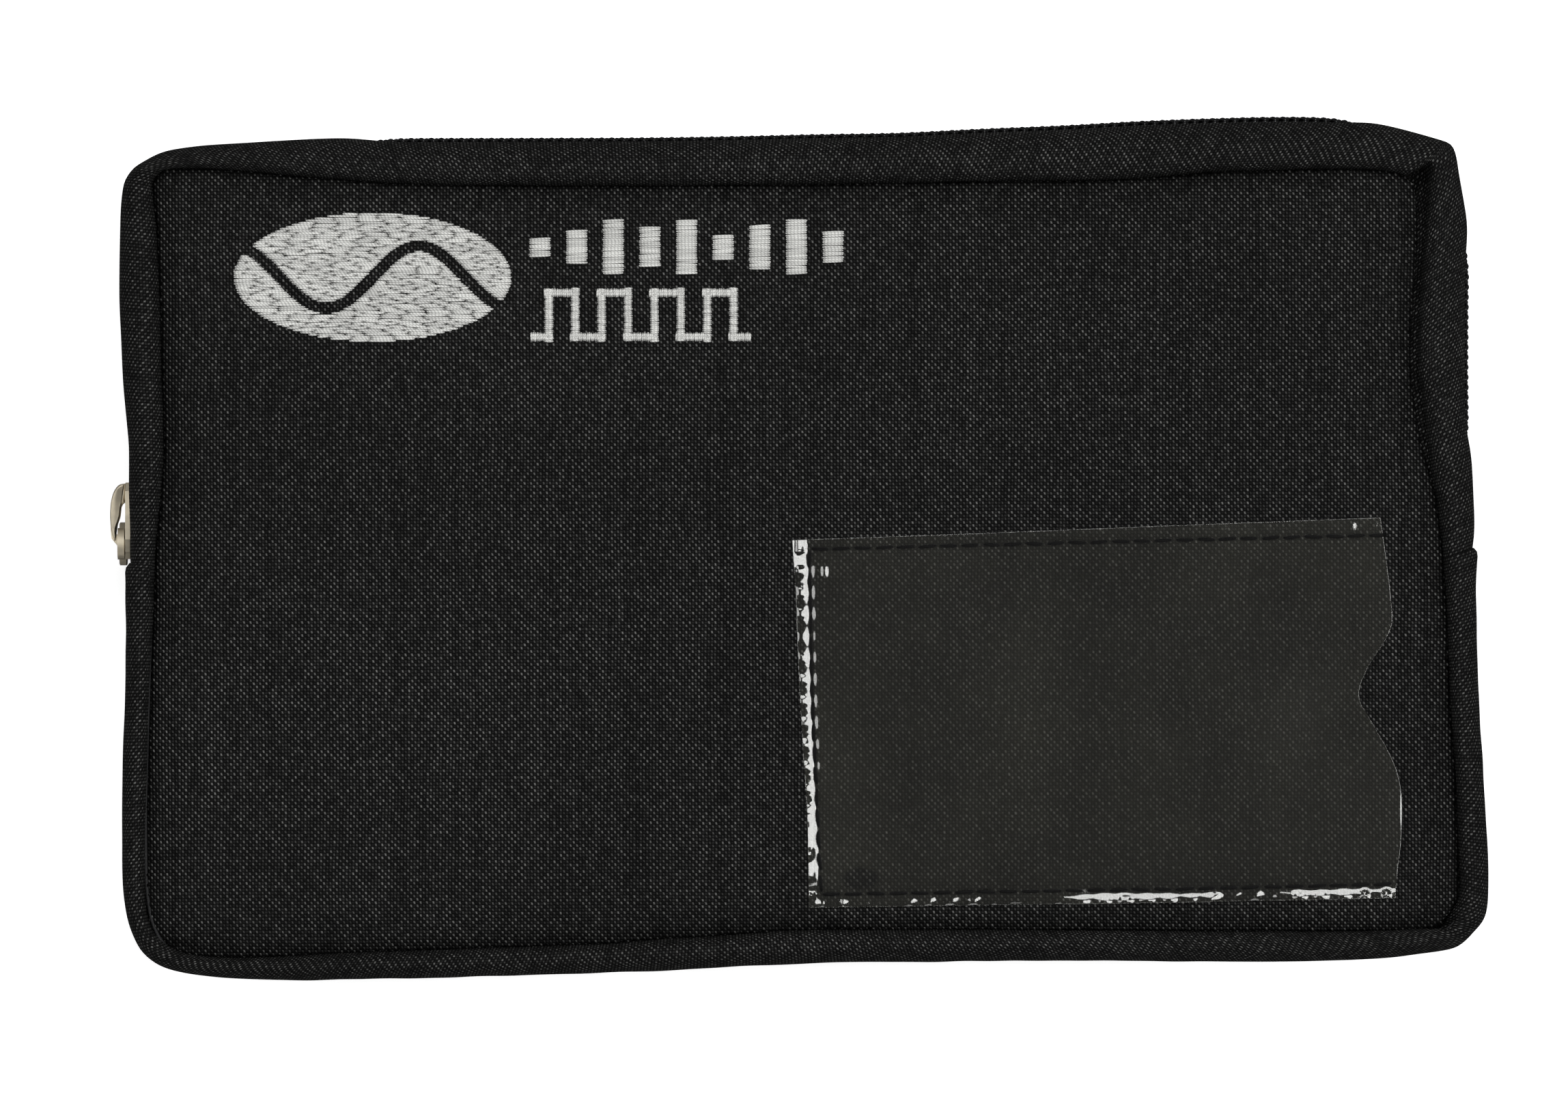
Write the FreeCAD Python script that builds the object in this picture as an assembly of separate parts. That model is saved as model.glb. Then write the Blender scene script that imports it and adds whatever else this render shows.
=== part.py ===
import FreeCAD, Part

import math
import os

V = FreeCAD.Vector

# Soft zip case for a probe kit, lying on its back.
# +X runs along the case's width, +Y towards the zipped top edge, +Z up through the printed front.
# The origin is the middle of the flat back face that the case rests on. Millimetres.

# ---- driving dimensions -------------------------------------------------------------------------
TOTAL_H = 30.0          # back face to front face
CLOTH = 0.8             # outer woven polyester with its coating
FOAM = 3.0              # padding in the front and back panels
LINING = 0.4            # inner nylon lining
TAPE = 0.5              # zipper tape
ROLL = 3.8              # outer radius that the gusset rolls over with at the front and the back
WALL = 0.3              # outer face of the gusset, out from the reference outline
ZIP_IN = 1.8            # outer face of the zipper tape, in from the reference outline
COIL_D = 1.8            # how far the coil stands out from the tape
MID_Z = 15.0            # height of the zipper's centre line
COIL_IN, COIL_OUT = 0.85, 3.1     # one coil row: nearer and further edge from the centre line
STRIP_EDGE = 4.7        # folded edge of the gusset strips from the centre line
HINGE_Y = 12.0          # line that the front folds on
HINGE_Z = 30.3
HINGE_GAP = 0.2         # half the gap left between the two halves of the front
LEFT_END_Y = -3.2       # where the base gusset starts on the left side
RIGHT_END_Y = 0.6       # and on the right side
# slider
SL_LEN = 12.4
SL_Y0 = -1.5
SL_HALF_W = 4.3
BLADE = 0.9
# card window: top left, top right, bottom right, bottom left
WIN = [(-0.9, 1.6), (94.0, 5.2), (96.5, -56.2), (1.9, -57.8)]
WIN_T = 0.4
STITCH_PITCH = 3.6

os.makedirs("parts", exist_ok=True)


# ---- helpers ------------------------------------------------------------------------------------
class Loop:
    """A four-cornered outline with rounded corners; the corners run clockwise from the top left."""

    def __init__(self, corners, radii):
        self.corners, self.radii = corners, radii

    def moved(self, d):
        """Corners of the loop moved outwards by d."""
        n = len(self.corners)
        lines = []
        for i in range(n):
            ax, ay = self.corners[i]
            bx, by = self.corners[(i + 1) % n]
            ux, uy = bx - ax, by - ay
            long = math.hypot(ux, uy)
            ux, uy = ux / long, uy / long
            lines.append((ax - uy * d, ay + ux * d, ux, uy))
        out = []
        for i in range(n):
            ax, ay, ux, uy = lines[i - 1]
            bx, by, vx, vy = lines[i]
            den = ux * vy - uy * vx
            t = ((bx - ax) * vy - (by - ay) * vx) / den
            out.append((ax + ux * t, ay + uy * t))
        return out

    def wire(self, d, z):
        pts = self.moved(d)
        n = len(pts)
        edges, ends = [], []
        for i in range(n):
            px, py = pts[i]
            ax, ay = pts[i - 1]
            bx, by = pts[(i + 1) % n]
            r = max(self.radii[i] + d, 0.5)
            la, lb = math.hypot(ax - px, ay - py), math.hypot(bx - px, by - py)
            ua, ub = ((ax - px) / la, (ay - py) / la), ((bx - px) / lb, (by - py) / lb)
            half = math.acos(max(-1, min(1, ua[0] * ub[0] + ua[1] * ub[1]))) / 2
            cut = r / math.tan(half)
            s = (px + ua[0] * cut, py + ua[1] * cut)
            e = (px + ub[0] * cut, py + ub[1] * cut)
            mx, my = ua[0] + ub[0], ua[1] + ub[1]
            lm = math.hypot(mx, my)
            c = (px + mx / lm * r / math.sin(half), py + my / lm * r / math.sin(half))
            ends.append((s, (c[0] - mx / lm * r, c[1] - my / lm * r), e))
        for i in range(n):
            s, m, e = ends[i]
            edges.append(Part.Arc(V(s[0], s[1], z), V(m[0], m[1], z), V(e[0], e[1], z)).toShape())
            s2 = ends[(i + 1) % n][0]
            edges.append(Part.LineSegment(V(e[0], e[1], z), V(s2[0], s2[1], z)).toShape())
        return Part.Wire(edges)


# the reference outline is 0.3 mm inside the case's outer face
CASE = Loop([(-107.7, 65.5), (106.9, 69.3), (110.4, -65.8), (-107.7, -69.0)], [10.0, 9.0, 12.0, 12.0])
# seam of the front panel, and of the back panel
FRONT = Loop([(-103.2, 60.9), (100.3, 57.2), (106.0, -61.4), (-103.5, -64.8)], [7.0, 5.0, 7.0, 10.0])
BACK = Loop(CASE.moved(-4.8), [6.0, 6.0, 8.0, 8.0])


def slab(loop, d, z0, z1):
    """The outline filled, from z0 to z1."""
    return Part.Face(loop.wire(d, z0)).extrude(V(0, 0, z1 - z0))


def ring(d0, d1, z0, z1, loop=CASE):
    """A wall that follows the outline, from d0 to d1 outwards and z0 to z1 up."""
    face = Part.Face(loop.wire(d1, z0)).cut(Part.Face(loop.wire(d0, z0)))
    return face.extrude(V(0, 0, z1 - z0))


def pillow(d, z0, z1, r):
    """The filled outline with its front and back edges rounded."""
    body = slab(CASE, d, z0, z1)
    level = [e for e in body.Edges if abs(e.BoundBox.ZMax - e.BoundBox.ZMin) < 1e-6]
    return body.makeFillet(r, level)


def box(x0, x1, y0, y1, z0, z1):
    return Part.makeBox(x1 - x0, y1 - y0, z1 - z0, V(x0, y0, z0))


BIG = 400.0


def above(shape, y_left, y_right):
    """What is above y_left on the left half and above y_right on the right half."""
    left = box(-BIG, 0, y_left, BIG, -BIG, BIG)
    right = box(0, BIG, y_right, BIG, -BIG, BIG)
    return one(shape.common(left.fuse(right)))


def below(shape, y_left, y_right):
    left = box(-BIG, 0, -BIG, y_left, -BIG, BIG)
    right = box(0, BIG, -BIG, y_right, -BIG, BIG)
    return one(shape.common(left.fuse(right)))


def between(shape, left, right):
    """Two separate stretches: left = (y0, y1) on the left half, right on the right half."""
    a = shape.common(box(-BIG, 0, left[0], left[1], -BIG, BIG))
    b = shape.common(box(0, BIG, right[0], right[1], -BIG, BIG))
    return Part.makeCompound(a.Solids + b.Solids)


def levels(shape, z0, z1):
    return shape.common(box(-BIG, BIG, -BIG, BIG, z0, z1))


def one(shape):
    shape = shape.removeSplitter()
    return shape.Solids[0] if len(shape.Solids) == 1 else Part.makeCompound(shape.Solids)


def polygon(points, z0, z1):
    w = Part.makePolygon([V(x, y, z0) for x, y in points] + [V(points[0][0], points[0][1], z0)])
    return Part.Face(w).extrude(V(0, 0, z1 - z0))


made = {}


def save(name, shape):
    solids = shape.Solids
    assert solids, name
    for s in solids:
        assert s.isValid() and s.Volume > 0, name
    out = solids[0] if len(solids) == 1 else Part.makeCompound(solids)
    out.exportStep("parts/%s.step" % name)
    made[name] = out
    b = out.BoundBox
    print("%-26s %3d solids %9.1f mm3  x %.1f..%.1f y %.1f..%.1f z %.1f..%.1f" % (
        name, len(solids), out.Volume, b.XMin, b.XMax, b.YMin, b.YMax, b.ZMin, b.ZMax))


# ---- levels -------------------------------------------------------------------------------------
FRONT_Z0 = TOTAL_H - CLOTH                  # underside of the front cloth
FRONT_FOAM_Z0 = FRONT_Z0 - FOAM
FRONT_LIN_Z0 = FRONT_FOAM_Z0 - LINING
BACK_FOAM_Z1 = CLOTH + FOAM
BACK_LIN_Z1 = BACK_FOAM_Z1 + LINING
WALL_IN = WALL - CLOTH                      # inner face of the gusset cloth
TAPE_OUT, TAPE_IN = -ZIP_IN, -ZIP_IN - TAPE
LIN_OUT = TAPE_IN - 0.1                     # outer and inner face of the gusset's lining
LIN_IN = LIN_OUT - LINING
Z_BACK_EDGE, Z_FRONT_EDGE = MID_Z - STRIP_EDGE, MID_Z + STRIP_EDGE
LIN_Z0, LIN_Z1 = 2.0, TOTAL_H - 2.0
lo, hi = HINGE_Y - HINGE_GAP, HINGE_Y + HINGE_GAP

# ---- outer cloth: one padded shell, sewn from a front, a back, a base gusset and two zip strips -----
shell = pillow(WALL, 0, TOTAL_H, ROLL).cut(pillow(WALL_IN, CLOTH, FRONT_Z0, ROLL - CLOTH))
front_prism = slab(FRONT, 0, FRONT_Z0 - 1.0, TOTAL_H + 1.0)
back_prism = slab(BACK, 0, -1.0, CLOTH + 1.0)
save("back_panel", one(shell.common(back_prism)))
gusset = shell.cut(front_prism).cut(back_prism)
save("base_gusset", below(gusset, LEFT_END_Y, RIGHT_END_Y))
# each strip is turned in to the tape along the zipper
back_strip = levels(gusset, -1, Z_BACK_EDGE).fuse(ring(TAPE_OUT, WALL_IN, Z_BACK_EDGE - CLOTH, Z_BACK_EDGE))
front_strip = levels(gusset, Z_FRONT_EDGE, TOTAL_H + 1).fuse(ring(TAPE_OUT, WALL_IN, Z_FRONT_EDGE, Z_FRONT_EDGE + CLOTH))
save("back_zip_strip", above(back_strip, LEFT_END_Y, RIGHT_END_Y))
save("front_zip_strip", above(front_strip, hi, hi))
save("front_zip_strip_ends", between(front_strip, (LEFT_END_Y, lo), (RIGHT_END_Y, lo)))
front = shell.common(front_prism)
save("front_panel_lower", below(front, lo, lo))
save("front_panel_upper", above(front, hi, hi))

# ---- padding ------------------------------------------------------------------------------------
EDGE = -1.9                                 # edge of the foam, in from the seams
save("back_foam", slab(BACK, EDGE, CLOTH, BACK_FOAM_Z1))
foam = slab(FRONT, EDGE, FRONT_FOAM_Z0, FRONT_Z0)
save("front_foam_lower", below(foam, lo, lo))
save("front_foam_upper", above(foam, hi, hi))
save("base_gusset_foam", below(ring(LIN_OUT + 0.1, WALL_IN, 4.0, TOTAL_H - 4.0), LEFT_END_Y - 0.6, RIGHT_END_Y - 0.6))

# ---- lining -------------------------------------------------------------------------------------
save("back_lining", slab(BACK, EDGE, BACK_FOAM_Z1, BACK_LIN_Z1))
lining = slab(FRONT, EDGE, FRONT_LIN_Z0, FRONT_FOAM_Z0)
save("front_lining_lower", below(lining, lo, lo))
save("front_lining_upper", above(lining, hi, hi))
wall = ring(LIN_IN, LIN_OUT, LIN_Z0, LIN_Z1)
wall = wall.fuse(slab(CASE, LIN_OUT, LIN_Z1 - LINING, LIN_Z1).cut(slab(FRONT, 0, LIN_Z1 - 1, LIN_Z1 + 1)))
wall = wall.fuse(slab(CASE, LIN_OUT, LIN_Z0, LIN_Z0 + LINING).cut(slab(BACK, 0, LIN_Z0 - 1, LIN_Z0 + 1)))
save("base_gusset_lining", below(wall, LEFT_END_Y - 0.1, RIGHT_END_Y - 0.1))
save("back_zip_lining", above(levels(wall, 0, Z_BACK_EDGE - 0.6), LEFT_END_Y, RIGHT_END_Y))
wall = levels(wall, Z_FRONT_EDGE + 0.6, TOTAL_H)
save("front_zip_lining", above(wall, hi, hi))
save("front_zip_lining_ends", between(wall, (LEFT_END_Y, lo), (RIGHT_END_Y, lo)))

# ---- binding tape folded over the raw edges of the seams inside --------------------------------------
BIND_T, BIND_H = 1.5, 6.0
save("back_seam_binding", one(ring(-0.2 - BIND_T, -0.2, CLOTH + 0.1, CLOTH + 0.1 + BIND_H, BACK)))
bind = ring(-0.2 - BIND_T, -0.2, FRONT_Z0 - 0.1 - BIND_H, FRONT_Z0 - 0.1, FRONT)
save("front_seam_binding_lower", below(bind, lo, lo))
save("front_seam_binding_upper", above(bind, hi, hi))

# ---- zipper -------------------------------------------------------------------------------------
COIL_END_L, COIL_END_R = SL_Y0 - 0.1, RIGHT_END_Y + 1.9
tape_back = ring(TAPE_IN, TAPE_OUT, MID_Z - 11.0, MID_Z - COIL_IN - 0.6)
save("zipper_tape_back", above(tape_back, LEFT_END_Y, RIGHT_END_Y))
tape_front = ring(TAPE_IN, TAPE_OUT, MID_Z + COIL_IN + 0.6, MID_Z + 11.0)
save("zipper_tape_front", above(tape_front, hi, hi))
save("zipper_tape_front_ends", between(tape_front, (LEFT_END_Y, lo), (RIGHT_END_Y, lo)))
coil_back = ring(TAPE_OUT, TAPE_OUT + COIL_D, MID_Z - COIL_OUT, MID_Z - COIL_IN)
save("zipper_coil_back", above(coil_back, COIL_END_L, COIL_END_R))
coil_front = ring(TAPE_OUT, TAPE_OUT + COIL_D, MID_Z + COIL_IN, MID_Z + COIL_OUT)
save("zipper_coil_front", above(coil_front, hi, hi))
save("zipper_coil_front_ends", between(coil_front, (COIL_END_L, lo), (COIL_END_R, lo)))
# crimped stops: one on each row at the closed end, and one across both rows at the open end
STOP_L = 1.3
stops = []
for z0, z1 in ((MID_Z - COIL_OUT, MID_Z - COIL_IN), (MID_Z + COIL_IN, MID_Z + COIL_OUT)):
    stops += ring(TAPE_OUT, TAPE_OUT + COIL_D + 0.1, z0, z1).common(
        box(-BIG, 0, COIL_END_L - STOP_L, COIL_END_L, -BIG, BIG)).Solids
save("zipper_top_stops", Part.makeCompound(stops))
save("zipper_bottom_stop", ring(TAPE_OUT, TAPE_OUT + COIL_D + 0.3, MID_Z - COIL_OUT - 0.3, MID_Z + COIL_OUT + 0.3).common(
    box(0, BIG, COIL_END_R - 1.8, COIL_END_R, -BIG, BIG)))

# ---- clear card window, with a thumb notch in its open right side ----------------------------------
(tlx, tly), (trx, try_), (brx, bry), (blx, bly) = WIN


def on_right(t):
    return V(trx + (brx - trx) * t, try_ + (bry - try_) * t, TOTAL_H)


p1, p2 = on_right(0.34), on_right(0.72)
mid = on_right(0.53)
q1, q2 = V(mid.x - 5.5, mid.y + 8.0, TOTAL_H), V(mid.x - 5.5, mid.y - 8.0, TOTAL_H)
notch_bottom = V(mid.x - 7.6, mid.y, TOTAL_H)
edges = [
    Part.LineSegment(V(tlx, tly, TOTAL_H), V(trx, try_, TOTAL_H)).toShape(),
    Part.LineSegment(V(trx, try_, TOTAL_H), p1).toShape(),
    Part.LineSegment(p1, q1).toShape(),
    Part.Arc(q1, notch_bottom, q2).toShape(),
    Part.LineSegment(q2, p2).toShape(),
    Part.LineSegment(p2, V(brx, bry, TOTAL_H)).toShape(),
    Part.LineSegment(V(brx, bry, TOTAL_H), V(blx, bly, TOTAL_H)).toShape(),
    Part.LineSegment(V(blx, bly, TOTAL_H), V(tlx, tly, TOTAL_H)).toShape(),
]
save("card_window", Part.Face(Part.Wire(edges)).extrude(V(0, 0, WIN_T)))

# lockstitches that hold the window on three sides
INSET = 2.2
z = TOTAL_H + WIN_T


def stitch_line(ax, ay, bx, by):
    long = math.hypot(bx - ax, by - ay)
    ux, uy = (bx - ax) / long, (by - ay) / long
    n = int(long / STITCH_PITCH)
    out = []
    for i in range(n):
        s = (i + 0.5) * long / n
        b = Part.makeBox(2.1, 0.5, 0.35, V(-1.05, -0.25, 0))
        b.rotate(V(0, 0, 0), V(0, 0, 1), math.degrees(math.atan2(uy, ux)))
        b.translate(V(ax + ux * s, ay + uy * s, z))
        out.append(b)
    return out


a = (tlx + INSET, tly - INSET)
b = (trx - 0.5, try_ - INSET)
c = (blx + INSET, bly + INSET)
d = (brx - 0.5, bry + INSET)
save("window_stitches", Part.makeCompound(
    stitch_line(a[0] + 1, a[1], b[0], b[1]) + stitch_line(a[0], a[1] - 1, c[0], c[1] + 1) + stitch_line(c[0] + 1, c[1], d[0], d[1])))

# ---- raised satin-stitch emblem: a lens cut by a wave, a row of level bars and a square-wave trace ----
E_T = 0.5
EX, EY, EA, EB = -68.5, 43.9, 22.4, 10.4
lens = Part.Face(Part.Wire(Part.Ellipse(V(EX, EY, TOTAL_H), EA, EB).toShape())).extrude(V(0, 0, E_T))
wave, N = [], 60
for side in (1, -1):
    row = []
    for i in range(N + 1):
        x = -EA - 1 + (2 * EA + 2) * i / N
        y = 5.0 * math.sin(x / EA * 1.5 * math.pi)
        slope = 5.0 * 1.5 * math.pi / EA * math.cos(x / EA * 1.5 * math.pi)
        long = math.hypot(1, slope)
        row.append((EX + x - slope / long * 0.9 * side, EY + y + 0.9 / long * side))
    wave += row if side == 1 else row[::-1]
emblem = [lens.cut(polygon(wave, TOTAL_H - 1, TOTAL_H + 2))]
BARS = [3.2, 5.4, 8.8, 6.4, 8.8, 4.2, 7.2, 8.8, 5.0]
for i, h in enumerate(BARS):
    x = -43.2 + i * 5.9
    emblem.append(box(x, x + 3.4, 48.75 - h / 2, 48.75 + h / 2, TOTAL_H, TOTAL_H + E_T))
LINE, LOW, HIGH, STEP = 1.3, 34.3, 41.4, 4.25
trace = []
for k in range(4):
    x = -42.2 + 2 * k * STEP
    trace.append(box(x, x + STEP, HIGH - LINE / 2, HIGH + LINE / 2, TOTAL_H, TOTAL_H + E_T))
    trace.append(box(x + STEP - LINE, x + STEP, LOW - LINE / 2, HIGH + LINE / 2, TOTAL_H, TOTAL_H + E_T))
    trace.append(box(x + STEP - LINE, x + 2 * STEP, LOW - LINE / 2, LOW + LINE / 2, TOTAL_H, TOTAL_H + E_T))
    if k < 3:
        trace.append(box(x + 2 * STEP - LINE, x + 2 * STEP, LOW - LINE / 2, HIGH + LINE / 2, TOTAL_H, TOTAL_H + E_T))
        trace.append(box(x + 2 * STEP - LINE, x + 2 * STEP + 0.5, HIGH - LINE / 2, HIGH + LINE / 2, TOTAL_H, TOTAL_H + E_T))
emblem.append(trace[0].fuse(trace[1:]).removeSplitter())
save("embroidered_emblem", Part.makeCompound([s for e in emblem for s in e.Solids]))

# ---- slider on the left side ----------------------------------------------------------------------
WX = CASE.corners[0][0] + ZIP_IN              # outer face of the tape on the left side
sy0, sy1 = SL_Y0, SL_Y0 + SL_LEN
OUT_IN = COIL_D + 0.2                        # inner face of the outer blade, from the tape
OUT_OUT = OUT_IN + BLADE


def plate(d0, d1, tail):
    """A blade: wide at its lower end, where the rows part, and narrower at its tail."""
    w = SL_HALF_W
    pts = [(sy0 + 1.2, -w + 0.9), (sy0 + 3.2, -w), (sy0 + 7.0, -w), (sy1 - 1.4, -tail), (sy1, -tail + 1.0),
           (sy1, tail - 1.0), (sy1 - 1.4, tail), (sy0 + 7.0, w), (sy0 + 3.2, w), (sy0 + 1.2, w - 0.9), (sy0, 1.6), (sy0, -1.6)]
    wire = Part.makePolygon([V(WX - d0, y, MID_Z + zz) for y, zz in pts + pts[:1]])
    return Part.Face(wire).extrude(V(-(d1 - d0), 0, 0))


outer = plate(OUT_IN, OUT_OUT, 3.9)
inner = plate(-TAPE - 0.3 - BLADE, -TAPE - 0.3, 3.9)
post = box(WX - OUT_IN, WX + TAPE + 0.3, sy0 + 1.0, sy0 + 4.6, MID_Z - 0.55, MID_Z + 0.55)
flanges = []
for s in (-1, 1):
    z0, z1 = sorted((MID_Z + s * 3.4, MID_Z + s * 3.9))
    flanges.append(box(WX - OUT_IN, WX - 0.35, sy0 + 3.2, sy1 - 1.4, z0, z1))
# bridge: an arch along the slider, with room under it for the pull tab
bridge_w = 0.75
yc = (sy0 + sy1) / 2 + 0.2
foot = 4.6
crown = 2.5
pts = []
outer_pts = [(-foot, 0), (-foot + 0.35, 1.4), (-foot + 1.5, 2.35), (-foot + 3.0, crown), (foot - 3.0, crown), (foot - 1.5, 2.35), (foot - 0.35, 1.4), (foot, 0)]
inner_pts = [(foot - 1.35, 0), (foot - 1.5, 0.95), (foot - 2.3, 1.6), (-foot + 2.3, 1.6), (-foot + 1.5, 0.95), (-foot + 1.35, 0)]
wire = Part.makePolygon([V(WX - OUT_OUT - h, yc + y, MID_Z - bridge_w) for y, h in outer_pts + inner_pts + outer_pts[:1]])
arch = Part.Face(wire).extrude(V(0, 0, 2 * bridge_w))
slider = outer.fuse([inner, post, arch] + flanges).removeSplitter()
save("slider_body", slider.Solids[0] if len(slider.Solids) == 1 else slider)

# ---- pull tab, hung on the bridge's lower leg and hanging down the side -----------------------------
TAB_T = 1.1
tab_d0 = OUT_OUT + 0.25
leg_y = yc - foot + 0.68
PIVOT = V(WX - tab_d0, leg_y, MID_Z)


def tab_prism(points):
    wire = Part.makePolygon([V(WX - tab_d0, leg_y + y, MID_Z + zz) for y, zz in points + points[:1]])
    return Part.Face(wire).extrude(V(-TAB_T, 0, 0))


def x_cylinder(r, y, zz, d0, t):
    return Part.makeCylinder(r, t, V(WX - d0, leg_y + y, MID_Z + zz), V(-1, 0, 0))


eye = x_cylinder(2.55, 0, 0, tab_d0, TAB_T)
neck = tab_prism([(-1.6, -1.8), (1.6, -1.8), (1.9, -4.4), (3.3, -6.4), (3.5, -9.5), (3.2, -11.9), (2.2, -13.0), (-2.2, -13.0), (-3.2, -11.9), (-3.5, -9.5), (-3.3, -6.4), (-1.9, -4.4)])
hole = x_cylinder(1.35, 0, 0, tab_d0 - 0.5, TAB_T + 1.0)
window = x_cylinder(1.7, 0, -9.4, tab_d0 - 0.5, TAB_T + 1.0)
tab = eye.fuse(neck).cut(hole).cut(window).removeSplitter()
save("pull_tab", tab.Solids[0])
print("tab pivot", PIVOT, "slider top", sy1)

overall = Part.makeCompound(list(made.values())).BoundBox
print("overall", overall)
print("nodes", len(made))
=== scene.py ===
import math

import bmesh
import bpy
import numpy as np
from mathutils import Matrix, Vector
from mathutils.bvhtree import BVHTree


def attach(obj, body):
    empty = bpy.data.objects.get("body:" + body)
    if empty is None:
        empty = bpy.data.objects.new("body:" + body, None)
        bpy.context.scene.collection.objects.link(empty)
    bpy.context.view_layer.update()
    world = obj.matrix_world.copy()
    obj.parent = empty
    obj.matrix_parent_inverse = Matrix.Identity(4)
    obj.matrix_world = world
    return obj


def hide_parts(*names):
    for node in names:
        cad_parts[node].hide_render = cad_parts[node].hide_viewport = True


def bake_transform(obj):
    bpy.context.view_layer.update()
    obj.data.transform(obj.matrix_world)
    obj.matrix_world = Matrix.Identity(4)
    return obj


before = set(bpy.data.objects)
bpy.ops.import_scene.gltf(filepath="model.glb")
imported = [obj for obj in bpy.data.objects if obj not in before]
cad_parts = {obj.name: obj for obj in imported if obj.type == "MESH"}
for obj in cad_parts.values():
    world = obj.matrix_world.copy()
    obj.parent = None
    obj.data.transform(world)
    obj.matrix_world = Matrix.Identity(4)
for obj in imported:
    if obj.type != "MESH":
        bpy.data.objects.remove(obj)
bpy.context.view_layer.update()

MM = 0.001
RNG = np.random.default_rng(342)

# ---------------------------------------------------------------------------------------------------
# Outlines, in millimetres in the row frame, clockwise from the top left corner as seen from the front
# ---------------------------------------------------------------------------------------------------
OUTER = {   # widest line of the gusset
    "top": [(-107.1, 61.7), (-105.1, 63.0), (-102.4, 64.3), (-99.1, 64.9), (-95.7, 65.3), (-89.1, 65.7), (-82.5, 66.1), (-75.9, 66.4), (-62.6, 66.6), (-42.8, 66.7), (-22.9, 66.8), (-9.7, 67.0), (3.5, 67.3), (16.8, 67.5), (30.0, 68.1), (43.2, 68.6), (56.5, 69.3), (69.7, 69.7), (83.0, 69.8), (90.7, 69.3), (96.3, 68.2), (101.9, 66.7), (105.5, 65.6)],
    "right": [(105.5, 65.6), (106.2, 64.2), (106.7, 61.0), (107.4, 57.1), (108.1, 52.7), (108.5, 47.2), (108.5, 42.4), (108.5, 35.8), (108.5, 27.9), (108.6, 20.4), (108.8, 15.7), (109.2, 8.3), (109.5, 3.3), (109.4, -1.7), (109.7, -14.9), (110.0, -23.7), (110.5, -32.5), (111.0, -41.4), (111.4, -48.0), (111.6, -51.7), (111.4, -56.6), (110.9, -59.9), (108.5, -62.4)],
    "bottom": [(108.5, -62.4), (106.9, -64.0), (103.9, -64.7), (99.5, -65.3), (95.5, -65.8), (87.0, -66.3), (69.7, -66.5), (56.5, -66.4), (43.2, -66.3), (30.0, -66.4), (16.8, -66.5), (3.5, -66.7), (-9.7, -67.3), (-22.9, -68.0), (-42.8, -68.6), (-62.6, -69.2), (-75.9, -69.4), (-84.7, -69.4), (-92.5, -69.1), (-96.5, -68.7), (-99.9, -68.1), (-102.7, -67.3), (-104.6, -66.1), (-106.3, -64.5)],
    "left": [(-106.3, -64.5), (-108.0, -60.6), (-108.6, -57.4), (-108.9, -54.9), (-109.1, -46.9), (-109.1, -41.4), (-108.9, -32.5), (-108.6, -22.3), (-108.4, -14.9), (-108.3, -6.1), (-108.2, -1.7), (-107.9, 3.1), (-108.0, 9.4), (-108.0, 17.1), (-108.3, 20.4), (-108.9, 27.0), (-109.2, 33.6), (-109.5, 40.3), (-109.5, 44.7), (-109.4, 51.3), (-109.2, 56.3), (-108.6, 59.7), (-107.1, 61.7)],
}
SEAM = {    # seam of the front panel, down in its groove
    "top": [(-102.9, 61.1), (-100.1, 61.5), (-95.5, 61.4), (-91.6, 61.2), (-82.4, 60.4), (-75.7, 59.9), (-67.2, 59.2), (-61.8, 59.0), (-51.5, 58.8), (-40.5, 58.7), (-29.5, 58.7), (-18.5, 58.7), (-2.0, 58.9), (14.5, 59.1), (36.5, 59.5), (49.2, 59.6), (57.6, 60.1), (68.1, 61.0), (73.8, 61.1), (83.7, 61.4), (91.0, 61.4), (96.0, 60.9), (98.8, 60.0)],
    "right": [(98.8, 60.0), (99.7, 56.7), (99.9, 50.0), (99.5, 44.6), (99.2, 40.2), (98.7, 32.8), (98.9, 27.8), (99.5, 23.1), (100.1, 19.0), (101.6, 13.1), (102.9, 8.3), (103.7, 2.8), (104.1, -1.7), (104.7, -10.5), (105.1, -21.5), (105.6, -29.7), (106.2, -38.0), (106.4, -46.3), (106.7, -52.7), (106.6, -56.1), (105.3, -58.3), (103.1, -60.7)],
    "bottom": [(103.1, -60.7), (98.2, -61.2), (95.3, -61.3), (86.8, -61.5), (80.6, -61.5), (69.5, -61.5), (47.5, -61.3), (25.5, -61.2), (9.0, -61.2), (-2.0, -61.4), (-13.0, -62.2), (-22.9, -62.8), (-29.9, -63.4), (-42.7, -63.9), (-60.2, -64.5), (-73.5, -65.0), (-81.2, -65.4), (-92.9, -65.7), (-96.6, -65.4), (-100.1, -64.6), (-102.1, -63.3)],
    "left": [(-102.1, -63.3), (-103.8, -61.6), (-104.9, -58.9), (-105.1, -54.5), (-105.1, -47.5), (-104.7, -33.5), (-104.4, -22.2), (-103.9, -11.0), (-103.6, -1.4), (-102.9, 7.2), (-102.3, 14.3), (-102.3, 20.4), (-102.5, 27.6), (-102.7, 35.8), (-102.9, 41.3), (-103.3, 50.4), (-103.9, 56.7), (-104.0, 59.1), (-102.9, 61.1)],
}
SIDES = (("top", 260), ("right", 160), ("bottom", 260), ("left", 160))
NCOL = sum(n for _, n in SIDES)

LAP_L, LAP_R = -1.7, 0.8            # Y of the base gusset's two ends


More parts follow.
